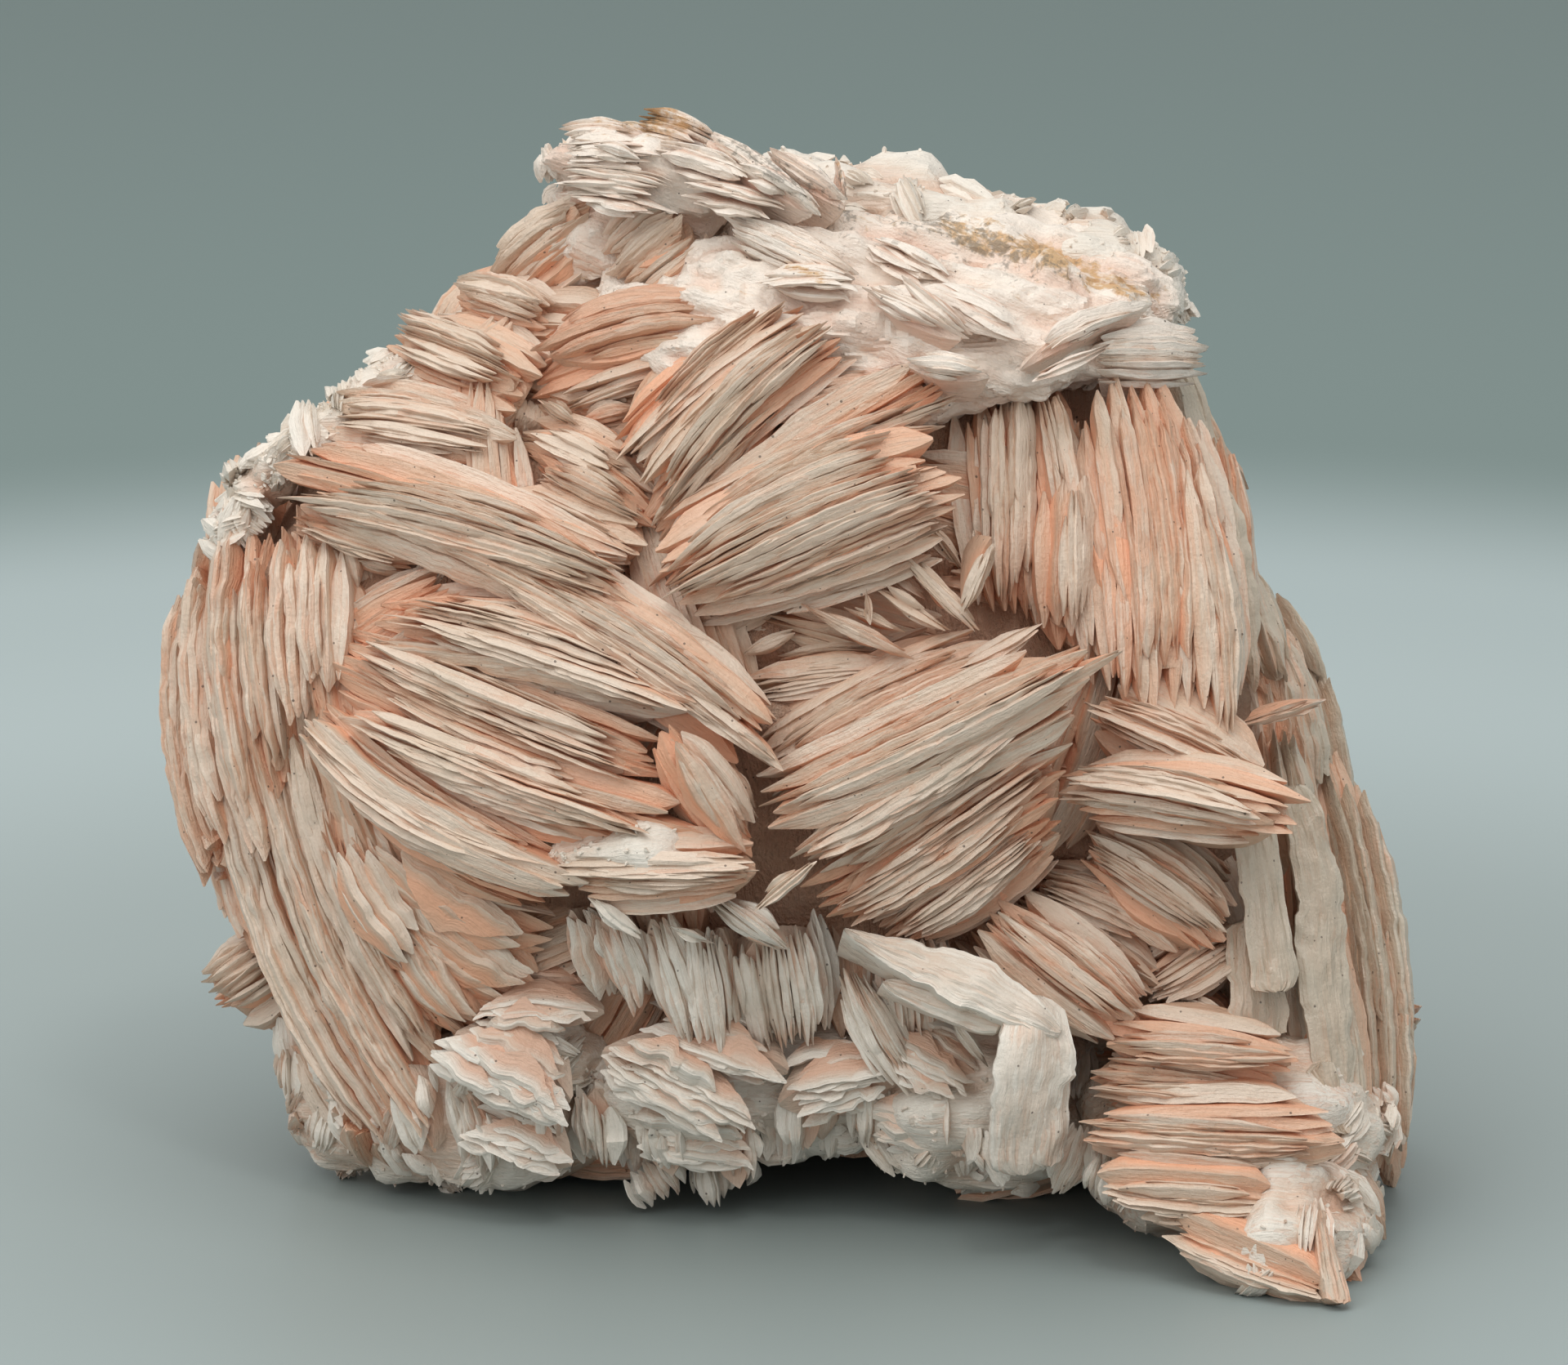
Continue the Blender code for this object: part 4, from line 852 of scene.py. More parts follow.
# The right side: uprights, falling packets, rows at the bottom and the foot
upright = {"pitch": 0.62, "split": 12.0, "tone": -0.85}
wallFinish = {"pitch": 0.68, "tone": 0.3, "split": 13.0}
sideFinish = {**wallFinish, "normal": unit(np.array((1.0, 0.0, 0.35)))}
rightRows = (
    ("uprightsFine", (20, 75, 6.5), (19.8, 53, 12), 6.5, 0, (0.8, 0.7), {"pitch": 0.62}),
    ("uprightsInner", (23.5, 75, 7.5), (27, 48, 14), 4, 0, (0.8, 0.5),
     {"pitch": 0.68, "tone": -0.5}),
    ("spearUpright", (25.2, 50.5, 15), (25.5, 66.7, 13), 3, 0, (0.8, 0), {"tone": 0.4, "pitch": 0.93}),
    ("rightUprights", (31, 76.5, 8.5), (34, 44.5, 18), 12, 1.2, (0.65, 0.9), upright),
    ("rightEdgePlate", (36, 66.7, 14), (39, 41.5, 17), 3.6, 1, (0.2, 0.4),
     {"pitch": 0.5, "tone": 0.5}),
    ("sidePlate", (39.4, 43.5, 12), (49.4, 46.6, 2), 1.5, 0, (0.3, 0.3), {"tone": -0.2}),
    ("fallingUpper", (24.5, 46.3, 16), (42.5, 38.3, 18), 5, 0.8, (0.3, 0.2)),
    ("fallingBright", (22.3, 39, 17), (44.8, 34.4, 25), 4.5, 1.2, (0.7, 0.05),
     {"tone": 0.6, "depth": 12}),
    ("kinkShadow", (31, 35.3, 7), (39.3, 29, 8), 4, 0, (0.5, 0.4)),
    ("kinkTop", (25, 34.8, 12), (39.6, 25.2, 14), 5.5, 0.8, (0.5, 0.4)),
    ("kinkMiddle", (20.5, 31, 9), (34.6, 24.4, 10), 4.5, 0.8, (0.5, 0.4)),
    ("kinkLow", (19.5, 29, 9), (33.2, 21.3, 11), 4, 0, (0.5, 0.4)),
    ("kinkFront", (16.3, 29.5, 14), (32.8, 16.7, 16), 6, 0, (0.3, 0.5), {"tone": -0.4}),
    ("crossingRight1", (31.5, 19.3, 10), (41, 25.3, 9), 4, 0, (0.7, 0.5)),
    ("crossingRight2", (33, 22.5, 9), (41, 27.2, 9), 1.2, 0, (0.7, 0.5)),
    ("crossingRight3", (34.5, 20, 9), (39, 16.6, 9), 3, 0, (0.7, 0.5)),
    ("row1", (24.5, 15.9, 16), (46.7, 14.7, 17), 3.4, 0, (0.6, 0.2), {"tone": -0.5}),
    ("row2", (24.5, 11.8, 15), (43.6, 10.6, 16), 4.2, 0, (0.7, 0.4), {"tone": -0.6}),
    ("row3", (24.5, 8, 17), (49.6, 6.9, 19), 4.5, 0, (0.7, 0.2), {"tone": -0.4}),
    ("row4", (25, 4.8, 17), (51.5, 6, 17), 2.2, 0, (0.7, 0.2)),
    ("row5", (26, 3, 18), (44, 2, 20), 3.5, 0, (0.6, 0.4), {"tone": 0.3}),
    ("row6", (31, 0.6, 19), (46.5, 2, 16), 2.5, 0, (0.6, 0.4)),
    ("footBand", (31, -0.3, 18), (47.6, -6.4, 25.4), 3, 0, (0.3, 0.1), {"tone": 0.2}),
    ("footEdge", (45.5, 1.5, 19), (48, -6.3, 24.5), 2.2, 0, (0.8, 0.3)),
    ("footSide", (46, 6, 13), (51.5, -3, 10), 5, 0, (0.7, 0.5)),
    ("footSideLow", (44, 3, 16), (48.5, -5, 19), 4, 0, (0.7, 0.4)),
    ("footFill", (35, 1.5, 16), (47, -3, 20), 4.5, 0, (0.5, 0.3), {"tone": 0.3}),
)
growRows("rightBlades", rightRows, pinkBlades, 14)

# The outer wall at the right is duller and glassier
wallRows = (
    ("wallA", (37.5, 70.5, 5), (41.5, 45.5, 8), 3.8, 0, (0.6, 0.6), wallFinish),
    ("wallB", (39.5, 62, -3), (45, 46, 2), 4.8, 0, (0.6, 0.6), wallFinish),
    ("wallC", (43, 57, -10), (48.5, 47, -8), 4.5, 0, (0.4, 0.6), wallFinish),
    ("wallD", (46.5, 52, -9), (51, 31, -6), 5.5, 0, (0.5, 0.6), wallFinish),
    ("wallE", (44, 46, 2), (47, 24, 6), 5, 0.3, (0.6, 0.6), wallFinish),
    ("wallF", (49, 44, -4), (54.6, 2, 2), 7, 1.2, (0.5, 0.7), wallFinish),
    ("wallG", (50.5, 30, -9), (55, 3, -8), 6, 1, (0.5, 0.7), wallFinish),
    ("wallH", (45.5, 32, 6), (50.5, 0, 8), 5, 0.8, (0.5, 0.6), wallFinish),
    ("wallI", (34.5, 79, -2), (39.5, 57, -4), 6.5, 0, (0.6, 0.6), sideFinish),
    ("wallJ", (35, 77, -8.5), (40.5, 58, -10.5), 6.5, 0, (0.6, 0.6), sideFinish),
    ("wallK", (44, 54, -3), (48.5, 37, -3), 6, 0, (0.6, 0.6), sideFinish),
)
growRows("rightWall", wallRows, glassyWall, 18)

# The left wall, the sweeps that run down from it, and the shelled plates inside them
shell = {"lean": -55.0, "pitch": 1.1, "split": 14.0, "fill": 1.0, "wave": 0.25, "serration": 0.3,
         "tone": 0.1}
sweep = {"pitch": 0.56, "split": 13.0, "wave": 0.22, "tone": 0.3}
drape = {"pitch": 0.62, "split": 12.0, "wave": 0.26, "tone": -0.55}
leftRows = (
    ("wallBlades1", (-41.8, 62, 5), (-41.2, 46, 9), 3, 0, (0.7, 0.6), drape),
    ("wallBlades2", (-44, 62.5, 4), (-42.8, 42, 8), 3.2, 0, (0.7, 0.6), drape),
    ("wallBlades3", (-47, 62.5, 1), (-44.6, 36, 5.5), 3.8, -0.8, (0.7, 0.6), drape),
    ("wallBlades4", (-49.7, 62.5, -1), (-46.5, 32, 2.5), 3.8, -1.6, (0.7, 0.6), drape),
    ("wallBlades5", (-51.8, 60, -4), (-48.2, 29, -1), 3.8, -2.2, (0.7, 0.7), drape),
    ("wallBlades6", (-53.6, 58, -8), (-50, 27, -5), 4.4, -2.2, (0.5, 0.7), drape),
    ("wallBladesLow", (-53, 50, -12), (-49.5, 22, -10), 5.5, -1, (0.6, 0.6), drape),
    ("sweep1", (-51, 44, -3), (-34, 4, 0), 5.4, -2.6, (0.5, 0.6), sweep),
    ("sweep2", (-47, 49, 2), (-29.5, 4.5, 4), 5.4, -2.8, (0.4, 0.6), sweep),
    ("sweep3", (-44, 46, 5), (-29.5, 12, 4), 4.8, -2, (0.4, 0.6), sweep),
    ("sweep4", (-42.5, 40, 6), (-30.5, 14, 5), 3.6, -1.2, (0.5, 0.6), sweep),
    ("shell1", (-39.2, 36.3, 8), (-29.4, 21, 9), 4.5, -1, (0.5, 0.5), shell),
    ("shell2", (-36.5, 34.5, 9), (-20.5, 24, 9), 5.5, -1, (0.5, 0.5), shell),
    ("shell3", (-36, 31.5, 8), (-21, 20.6, 8), 5, -1, (0.5, 0.5), shell),
    ("shell4", (-34.5, 28, 7), (-25.5, 16, 6), 5, -0.5, (0.5, 0.5), shell),
    ("shell5", (-38, 38.5, 10), (-24, 29, 13), 3, 0, (0.3, 0.3)),
    ("leftKnob", (-45, 25, -9), (-51.7, 20.5, -10), 6, 0, (0.6, 0.8), sweep),
    ("leftFoot", (-45, 16, -9), (-37.3, 4, -9), 5, 0.5, (0.6, 0.6), sweep),
)
growRows("leftBlades", leftRows, pinkBlades, 15)

# What hangs and stands along the bottom
hang = {"pitch": 0.5, "ragged": 3.0, "tip": 6.0, "lean": 10.0, "wave": 0.2, "tone": 0.1}
ledge = {"lean": 36.0, "pitch": 0.66, "split": 5.5, "fill": 1.25, "tone": 0.5, "depth": 5.0, "wild": 8.0,
         "ragged": 3.0, "serration": 0.45, "wave": 0.3, "fan": 28.0, "tip": 2.8, "lift": 0.7}
column = {"pitch": 0.62, "ragged": 3.2, "wave": 0.3, "serration": 0.35, "tone": 0.4, "lift": 0.6}
bottomRows = (
    ("hangingBlades1", (-16.5, 28.5, 12), (-12.5, 17, 8), 4.5, 0.5, (0.8, 0.3), hang),
    ("hangingBlades2", (-12.5, 28.5, 12), (-8.2, 13.5, 7), 5, 0.8, (0.8, 0.3), hang),
    ("hangingBlades3", (-8.5, 28, 12), (-6, 11.5, 7), 4.5, 0.3, (0.8, 0.2), hang),
    ("hangingBlades4", (-5.5, 27.5, 10), (-4, 15, 6), 4.5, -0.5, (0.8, 0.3), hang),
    ("hangingPlate", (-19, 28.5, 11), (-16, 18.5, 6), 3.5, 0, (0.8, 0.5),
     {"lean": 50, "pitch": 0.99}),
    ("hangingMiddle", (-1, 27.5, 11), (1, 14, 5), 10, 0, (0.9, 0.6), {"pitch": 0.56, "tone": 0.2}),
    ("hangingRight", (11, 26, 11), (12.5, 14, 6), 8, 0, (0.8, 0.6), {"pitch": 0.56}),
    ("ledgeLeft", (-31.5, 17, 5.5), (-17, 9, 7), 7, 0.8, (0.8, 0.5), ledge),
    ("ledgeLeftTop", (-29, 18.5, 5), (-13.5, 18, 6.5), 5.5, 0.8, (0.7, 0.6), ledge),
    ("ledgeFront", (-19, 15.5, 6), (-2, 7, 7.5), 7.5, 1, (0.8, 0.5), ledge),
    ("ledgeFrontTop", (-14, 16.5, 5.5), (2.5, 12, 6.5), 6, 0.6, (0.8, 0.5), ledge),
    ("ledgeMiddle", (-2.5, 9, 5.5), (12.5, 12.5, 6.5), 6.5, 0.8, (0.7, 0.6), ledge),
    ("ledgeLowLeft", (-30, 8.5, 3), (-17, 3.5, 3), 6, 0.6, (0.6, 0.6), ledge),
    ("ledgeLowMiddle", (-16.5, 7.5, 3), (0.5, 5, 3), 5.5, 0.6, (0.6, 0.6), ledge),
    ("ledgeRight", (6, 17.5, 6), (19, 10.5, 8), 6.5, 0.6, (0.7, 0.6), ledge),
    ("ledgeLowRight", (3.5, 8.5, 4), (19, 6, 6), 5.5, 0.6, (0.6, 0.6), ledge),
    ("columnLeft1", (-34.5, 15, 3), (-31, 4.5, 1), 5, 0.4, (0.8, 0.4), column),
    ("columnLeft2", (-29, 13, 4.5), (-26, 2.5, 0.5), 5.5, 0.4, (0.8, 0.4), column),
    ("columnLeft3", (-23, 12.5, 5.5), (-21.5, 3.5, 1.5), 5, 0.4, (0.8, 0.4), column),
    ("columnLeft4", (-17, 12.5, 5), (-16, 4, 1.5), 5, 0.2, (0.8, 0.4), column),
    ("columnMiddle1", (-10.5, 10.5, 5.5), (-10, 2.5, 1.5), 5.5, 0, (0.8, 0.4), column),
    ("columnMiddle2", (-4.5, 9.5, 5), (-4, 1.5, 1), 5, 0, (0.8, 0.4), column),
    ("columnMiddle3", (2, 13, 5), (2, 5, 2), 5.5, 0, (0.8, 0.4), column),
    ("columnRight1", (8.5, 13, 6), (8, 5.5, 3.5), 5.5, 0, (0.8, 0.4), column),
    ("columnRight2", (15.5, 13, 8), (15.5, 4.5, 6), 6, 0, (0.8, 0.4), column),
    ("fringeLens", (-7, 29.6, 14), (1.7, 23.5, 14), 3.2, 0, (0.3, 0.2)),
    ("fringeSpike", (-17, 29, 16), (-11.5, 24.6, 15), 1.8, 0, (0.3, 0.1), {"tone": 1}),
    ("fringeSmall", (-10.5, 26.6, 14), (-5.4, 24.5, 14), 1.2, 0, (0.3, 0.1), {"tone": 0.6}),
    ("lowerRightLens", (5, 24, 10), (13, 9.6, 8), 4.8, -0.5, (0.4, 0.2)),
    ("lowerRightThin", (14, 19.3, 10), (18.3, 13.4, 9), 1.4, 0, (0.3, 0.2)),
    ("shellLeftLens", (7.5, 23.5, 13), (19, 19, 14), 3, 0.5, (0.3, 0.3), {"tone": 0.7}),
)
growRows("bottomBlades", bottomRows, whiteCrust, 16, under=False)

makePiece("underBlades", underStore, pinkBlades)

# The body under the blades. Levels: height, left and right edge, how far out in front.
body = {
    "levels": ((6.0, -37.0, 54.0, -8.0), (14.0, -43.0, 55.5, -3.0), (22.0, -48.0, 54.0, 2.0),
               (32.0, -50.5, 51.5, 7.0), (44.0, -52.5, 48.0, 9.0), (56.0, -53.0, 43.5, 8.0),
               (66.0, -47.0, 39.0, 5.5), (74.0, -38.5, 37.5, 3.5), (82.0, -29.5, 33.0, -3.0),
               (89.0, -20.0, 22.0, -7.0)),
    "inset": 5.5, "backInset": 9.5, "squareness": 0.72,
    "sides": 150, "rings": 88, "roughness": 0.8, "flake": 0.9,
    "rough": (1.0, 5.0), "fine": (0.4, 1.9),    # height and length of the waves
    "flakeLength": 3.0, "flakeStretch": (0.6, 1.0, 0.6),
    "centre": (0.0, 48.0, -18.0),
    "shadeFadesBehind": 8.0,    # how far behind the widest line its painted shade has faded and it has turned pale
    "streakWidth": 50.0,
    "seed": 31,
}


# Rounded noise turned into sheets that lie one on another
def stepped(values, sheets=2.2, edge=0.22):
    level = np.floor(values * sheets)
    part = np.clip((values * sheets - level - 1.0 + edge) / edge, 0.0, 1.0)
    return (level + part) / sheets


# Roughness and flakes of a broken surface
def relief(points, form, seed):
    (high, length), (fineHigh, fineLength) = form["rough"], form["fine"]
    rough = high * spaceNoise(points, length, seed) + fineHigh * spaceNoise(points, fineLength, seed + 1)
    drawn = points * np.array(form["flakeStretch"])
    return rough, stepped(1.6 * spaceNoise(drawn, form["flakeLength"], seed + 2))


def levelAt(up):
    levels = np.array(body["levels"])
    return [np.interp(up, levels[:, 0], levels[:, column]) for column in (1, 2, 3)]


def backOut(up):
    return (up * math.sin(face["lean"]) - face["backPlane"]) / math.cos(face["lean"])


def ringPoint(up, angle, inset, backInset):
    left, right, front = levelAt(up)
    half = (right - left) / 2.0 - inset
    cosine, sine = np.cos(angle), np.sin(angle)
    bend = body["squareness"]
    across = (left + right) / 2.0 + half * np.sign(cosine) * np.abs(cosine) ** bend
    reach = np.where(sine > 0, front - face["sideOut"], face["sideOut"] - backOut(up) - backInset)
    return across, face["sideOut"] + reach * np.sign(sine) * np.abs(sine) ** bend


def lengthOf(vectors):
    return np.linalg.norm(vectors, axis=1)[:, None]


def makeBody():
    heights = np.linspace(body["levels"][0][0], body["levels"][-1][0], body["rings"])
    angles = np.linspace(0.0, 2.0 * math.pi, body["sides"], endpoint=False)
    points = []
    for up in heights:
        across, out = ringPoint(up, angles, body["inset"], body["backInset"])
        points.append(np.stack([across, np.full(len(angles), up), out], 1))
    points = np.concatenate(points)
    push = points - np.array(body["centre"])
    push /= lengthOf(push)
    rough, flakes = relief(points, body, body["seed"])
    behind = np.clip((face["sideOut"] - points[:, 2]) / body["shadeFadesBehind"], 0.0, 1.0)
    points = points + push * (rough * body["roughness"] - flakes * body["flake"])[:, None]
    # Painted shade: the heart is painted darker and more salmon in front, where it lies under the blades,
    # and in its hollows; behind it is painted paler
    paintedShade = np.clip(0.75 - 0.55 * behind + 0.3 * flakes - 0.2 * rough, 0.0, 1.0)
    around = np.tile(angles * body["streakWidth"], body["rings"])
    streak = np.stack([points[:, 1], around, 0.5 * (points[:, 0] + points[:, 2])], 1)
    store = newStore()
    addShape(store, points, closedFaces(body["rings"], body["sides"]), paintedShade, 0.9 * behind - 0.3, streak)
    makePiece("heart", store, salmonHeart)


makeBody()

# Rough lumps that fill between the packets, with small tabular crystals and short packets
# on them. Rows: centre, half sizes, tilt about the across axis, turn in the face, tone,
# how many crystals, how many packets.
lump = {
    "rings": 40, "sides": 60,
    "big": 14, "small": 7,    # a lump with a half size above or below these has more or fewer rings
    "bigDetail": 1.25, "smallDetail": 0.65,
    "rough": (0.9, 4.0), "fine": (0.42, 1.5),
    "flake": 0.9, "flakeLength": 2.6, "flakeStretch": (0.45, 1.0, 1.0),
    "streakStretch": (0.6, 1.0, 1.0),
    "paleCrystals": 0.2,      # how much paler they are than the lump
    "seed": 40,
}
lumpRows = (
    ((-27, 11, -6.5), (11.5, 8, 8), 0, 0, 0.3, 160, 54),
    ((0, 14, -5), (18.5, 6.8, 7), 0, 0, 0.4, 240, 74),
    ((17, 12, -1), (10.5, 8.5, 8), 0, 0, 0.4, 160, 46),
    ((39, 8, 4.3), (13, 10, 9), 0, 0, -0.1, 60, 20),
    ((43.5, -0.2, 13.5), (6.5, 5.5, 8), 20, 0, 0.1, 60, 16),
    ((-37.5, 12, -12.5), (6, 7.5, 5.5), 0, 0, 0, 60, 10),
    ((-16, 14.5, -29.5), (18, 10, 8.5), 15, 0, 0, 90, 60),
    ((21, 15.5, -27.5), (17, 11, 9), 15, 0, 0, 90, 60),
    ((-22, 14.5, -0.5), (6.5, 4.2, 4.5), 20, 8, 0.7, 60, 26),
    ((-9, 11.5, -0.5), (7.5, 4.8, 4.5), 20, -10, 0.6, 60, 28),
    ((-14, 32.5, 14), (6.5, 1.8, 3.5), 0, 0, 0.8, 160, 0),
    ((-47.6, 61.6, -4), (3.2, 2.2, 3.6), 0, 50, 1, 120, 8),
    ((-45.4, 64.8, -3.5), (3.2, 2.4, 3.8), 0, 50, 1.1, 140, 8),
    ((-42.6, 67.4, -3), (3.2, 2.4, 3.8), 0, 38, 1.1, 140, 8),
    ((-39.6, 69.4, -2), (3, 2, 3.6), 0, 25, 1.1, 140, 6),
    ((-36.6, 72, -3), (3, 2.2, 3.6), 0, 40, 1, 90, 8),
    ((-33.4, 74, -2), (3, 1.8, 3.2), 0, 8, 1, 90, 6),
    ((12, 87.6, -6.5), (16, 4.6, 6.5), 0, -13, 0.9, 160, 34),
    ((28, 83.2, -5.5), (7.5, 4.5, 6), 0, -30, 0.9, 120, 20),
)
crustForm = {"style": "plain", "pitch": 0.5, "bed": 0.0, "length": (3.0, 8.0), "width": (1.4, 4.2),
             "out": (0.2, 1.0), "mixedTone": 0.3, "depth": 3.0, "split": 20.0, "ragged": 2.4,
             "lift": 0.35, "tip": 2.4, "arch": 0.08, "fan": 30.0}
crystal = {
    "length": (0.3, 0.9), "breadth": (0.35, 0.8), "thin": (0.08, 0.2),    # the last two over the length
    "outline": ((0.5, 0.0), (0.22, 0.5), (-0.3, 0.5), (-0.5, 0.0), (-0.3, -0.5), (0.22, -0.5)),
    "wild": 0.6,          # how far from straight out they point
    # the crystals carry a little painted shade all over
    "paintedShade": 0.12, "mixedTone": 0.35,
}


def turnedBy(points, tilt, turn):
    angle, swing = math.radians(tilt), math.radians(turn)
    tipped = [[1, 0, 0],
              [0, math.cos(angle), -math.sin(angle)],
              [0, math.sin(angle), math.cos(angle)]]
    swung = [[math.cos(swing), -math.sin(swing), 0],
             [math.sin(swing), math.cos(swing), 0],
             [0, 0, 1]]
    return points @ (np.array(swung) @ np.array(tipped)).T


def addLump(store, centre, half, tilt, turn, tone, seed, detail=1.0):
    rings, sides = int(lump["rings"] * detail), int(lump["sides"] * detail)
    polar = np.linspace(0.03, math.pi - 0.03, rings)[:, None]
    around = np.linspace(0.0, 2.0 * math.pi, sides, endpoint=False)[None, :]
    out = np.sin(polar)
    ball = np.stack([np.cos(polar) + 0.0 * around, out * np.cos(around), out * np.sin(around)], -1)
    ball = ball.reshape(-1, 3)
    push = ball / np.array(half)
    push /= lengthOf(push)
    points = turnedBy(ball * np.array(half), tilt, turn) + np.array(centre)
    push = turnedBy(push, tilt, turn)
    rough, flakes = relief(points, lump, seed)
    points = points + push * (rough - lump["flake"] * flakes)[:, None]
    # Painted shade: darker in the hollows between the flakes, lighter on the raised roughness
    paintedShade = np.clip(0.30 - 0.30 * rough + 0.25 * flakes, 0.0, 1.0)
    streak = points * np.array(lump["streakStretch"])
    addShape(store, points, closedFaces(rings, sides), paintedShade, tone, streak)
    return points, push


# Small tabular crystals: six-sided plates standing at all angles
def addCrystals(store, rng, places, pushes, count, tone):
    chosen = rng.integers(0, len(places), count)
    long = rng.normal(size=(count, 3)) * crystal["wild"] + pushes[chosen]
    long /= lengthOf(long)
    flat = np.cross(long, rng.normal(size=(count, 3)))
    flat /= lengthOf(flat)
    wide = np.cross(flat, long)
    length = rng.uniform(*crystal["length"], count)
    breadth = length * rng.uniform(*crystal["breadth"], count)
    thin = length * rng.uniform(*crystal["thin"], count)
    outline = np.array(crystal["outline"])
    rim = (outline[None, :, :1] * length[:, None, None] * long[:, None, :]
           + outline[None, :, 1:] * breadth[:, None, None] * wide[:, None, :])
    half = (flat * thin[:, None])[:, None, :]
    points = np.concatenate([rim + half, rim - half], 1) + places[chosen][:, None, :]
    points = points.reshape(-1, 3)
    base = np.arange(count)[:, None] * 12
    sides = np.concatenate([base + np.array([k, k + 6, (k + 1) % 6 + 6, (k + 1) % 6]) for k in range(6)])
    faces = [sides, base + np.arange(6), base + np.arange(11, 5, -1)]
    tones = np.repeat(tone + rng.normal(0.0, crystal["mixedTone"], count), 12)
    addShape(store, points, faces, crystal["paintedShade"], tones, points)


# Short packets lying every way on a rough surface
def growShards(store, rng, places, pushes, count, tone):
    for _ in range(count):
        chosen = rng.integers(0, len(places))
        along = unit(np.cross(rng.normal(size=3), pushes[chosen]))
        half = along * rng.uniform(*crustForm["length"]) / 2.0
        at = places[chosen] + pushes[chosen] * rng.uniform(*crustForm["out"])
        form = {**crustForm, "normal": pushes[chosen],
                "tone": tone + rng.normal(0.0, crustForm["mixedTone"])}
        row = ("crust", at - half, at + half, rng.uniform(*crustForm["width"]), 0.0, (0.4, 0.4), form)
        growPacket(store, row, rng)


def detailFor(half):
    if max(half) > lump["big"]:
        return lump["bigDetail"]
    return lump["smallDetail"] if max(half) < lump["small"] else 1.0


def makeLumps():
    rng = np.random.default_rng(24)
    lumps, crystals, blades = newStore(), newStore(), newStore()
    for number, (centre, half, tilt, turn, tone, count, packets) in enumerate(lumpRows):
        seed = lump["seed"] + 3 * number
        places, pushes = addLump(lumps, centre, half, tilt, turn, tone, seed, detailFor(half))
        seen = ((places - np.array(body["centre"])) * pushes).sum(1) > 0.0
        places, pushes = places[seen], pushes[seen]
        addCrystals(crystals, rng, places, pushes, count, tone + lump["paleCrystals"])
        growShards(blades, rng, places, pushes, packets, tone)
    makePiece("crustBlades", blades, whiteCrust)
    makePiece("crustLumps", lumps, whiteCrust)
    makePiece("crustCrystals", crystals, whiteCrust)


makeLumps()

# The cap: a rough sloping mass with ochre and dark stains, and the lobe at its left. Rows:
# centre, half sizes, tilt, turn, tone and how much finer than a lump.
capForm = {
    "rows": (((8.5, 80.0, 0.3), (24.5, 12.0, 7.3), -51.0, 0.0, 0.9, 3.8),
             ((-12.0, 92.0, -1.5), (8.5, 4.0, 6.0), 0.0, -8.0, 0.9, 1.0),
             ((-16.0, 87.5, -3.5), (5.5, 4.8, 4.5), 0.0, 20.0, 0.2, 0.7)),
    "slope": -22.0,    # the way its streaks run
    "stretch": (0.22, 1.0, 1.0), "streakStretch": (2.0, 0.8, 0.8),
    "flakes": 0.7,
    "shards": 26,      # on the back of each
    "seed": 90, "noiseSeed": 97,
}


def makeCap():
    rng = np.random.default_rng(25)
    store = newStore()
    seed = capForm["noiseSeed"]
    for number, (centre, half, tilt, turn, tone, detail) in enumerate(capForm["rows"]):
        lumpSeed = capForm["seed"] + 3 * number
        places, pushes = addLump(store, centre, half, tilt, turn, tone, lumpSeed, detail)
        drawn = turnedBy(places, 0.0, -capForm["slope"]) * np.array(capForm["stretch"])
        flakes = stepped(spaceNoise(drawn, 1.9, seed) + 0.6 * spaceNoise(drawn, 0.8, seed + 1), 3.0)
        store["points"][-1] = places + pushes * (flakes * capForm["flakes"])[:, None]
        store["streak"][-1] = drawn * np.array(capForm["streakStretch"])
        # Painted shade: more where the flakes sink, less where they stand out
        store["paintedShade"][-1] = np.clip(0.22 - 0.35 * flakes, 0.0, 1.0)
        store["tone"][-1] = tone + 0.8 * spaceNoise(drawn, 1.1, seed + 2)
        behind = pushes[:, 2] < -0.1
        growShards(store, rng, places[behind], pushes[behind], capForm["shards"], tone)
    makePiece("capMass", store, capFinish, capStains)


makeCap()

# Broad plates whose faces show. Rows: name, path along the middle, half widths along it,
# the way it faces, thickness, tone, how ragged, how deep its root.
plateRows = (
    ("shellLeaf", ((5.1, 26, 14.5), (11, 23.6, 16.4), (17, 21.2, 18), (24, 17.2, 18.5)),
     (0.3, 1.6, 2.3, 0.8), (0.1, 0.35, 1), 0.8, 0.45, 0.9, 7),
    ("shellUnderLeaf", ((8.5, 21.5, 14), (13.5, 19.8, 15.5), (19, 18, 16.5)),
     (0.4, 1.3, 1.2), (0.1, 0.2, 1), 0.7, 0.3, 0.9, 6),
    ("shellFold", ((21.6, 20.4, 17.2), (21.9, 16.4, 18.4), (21.4, 12.4, 17.8), (20.8, 8.4, 16.2),
                   (20.6, 4.8, 14)),
     (2.3, 3.2, 3.3, 2.9, 2.5), (0.25, -0.05, 1), 1.3, 0.35, 1.2, 8),
    ("shellFoldSide", ((23, 16.5, 16.8), (23.4, 11, 16.4), (22.6, 5.4, 14.2)),
     (1.4, 1.9, 1.6), (0.6, 0, 1), 0.9, 0.2, 1.1, 6),
)
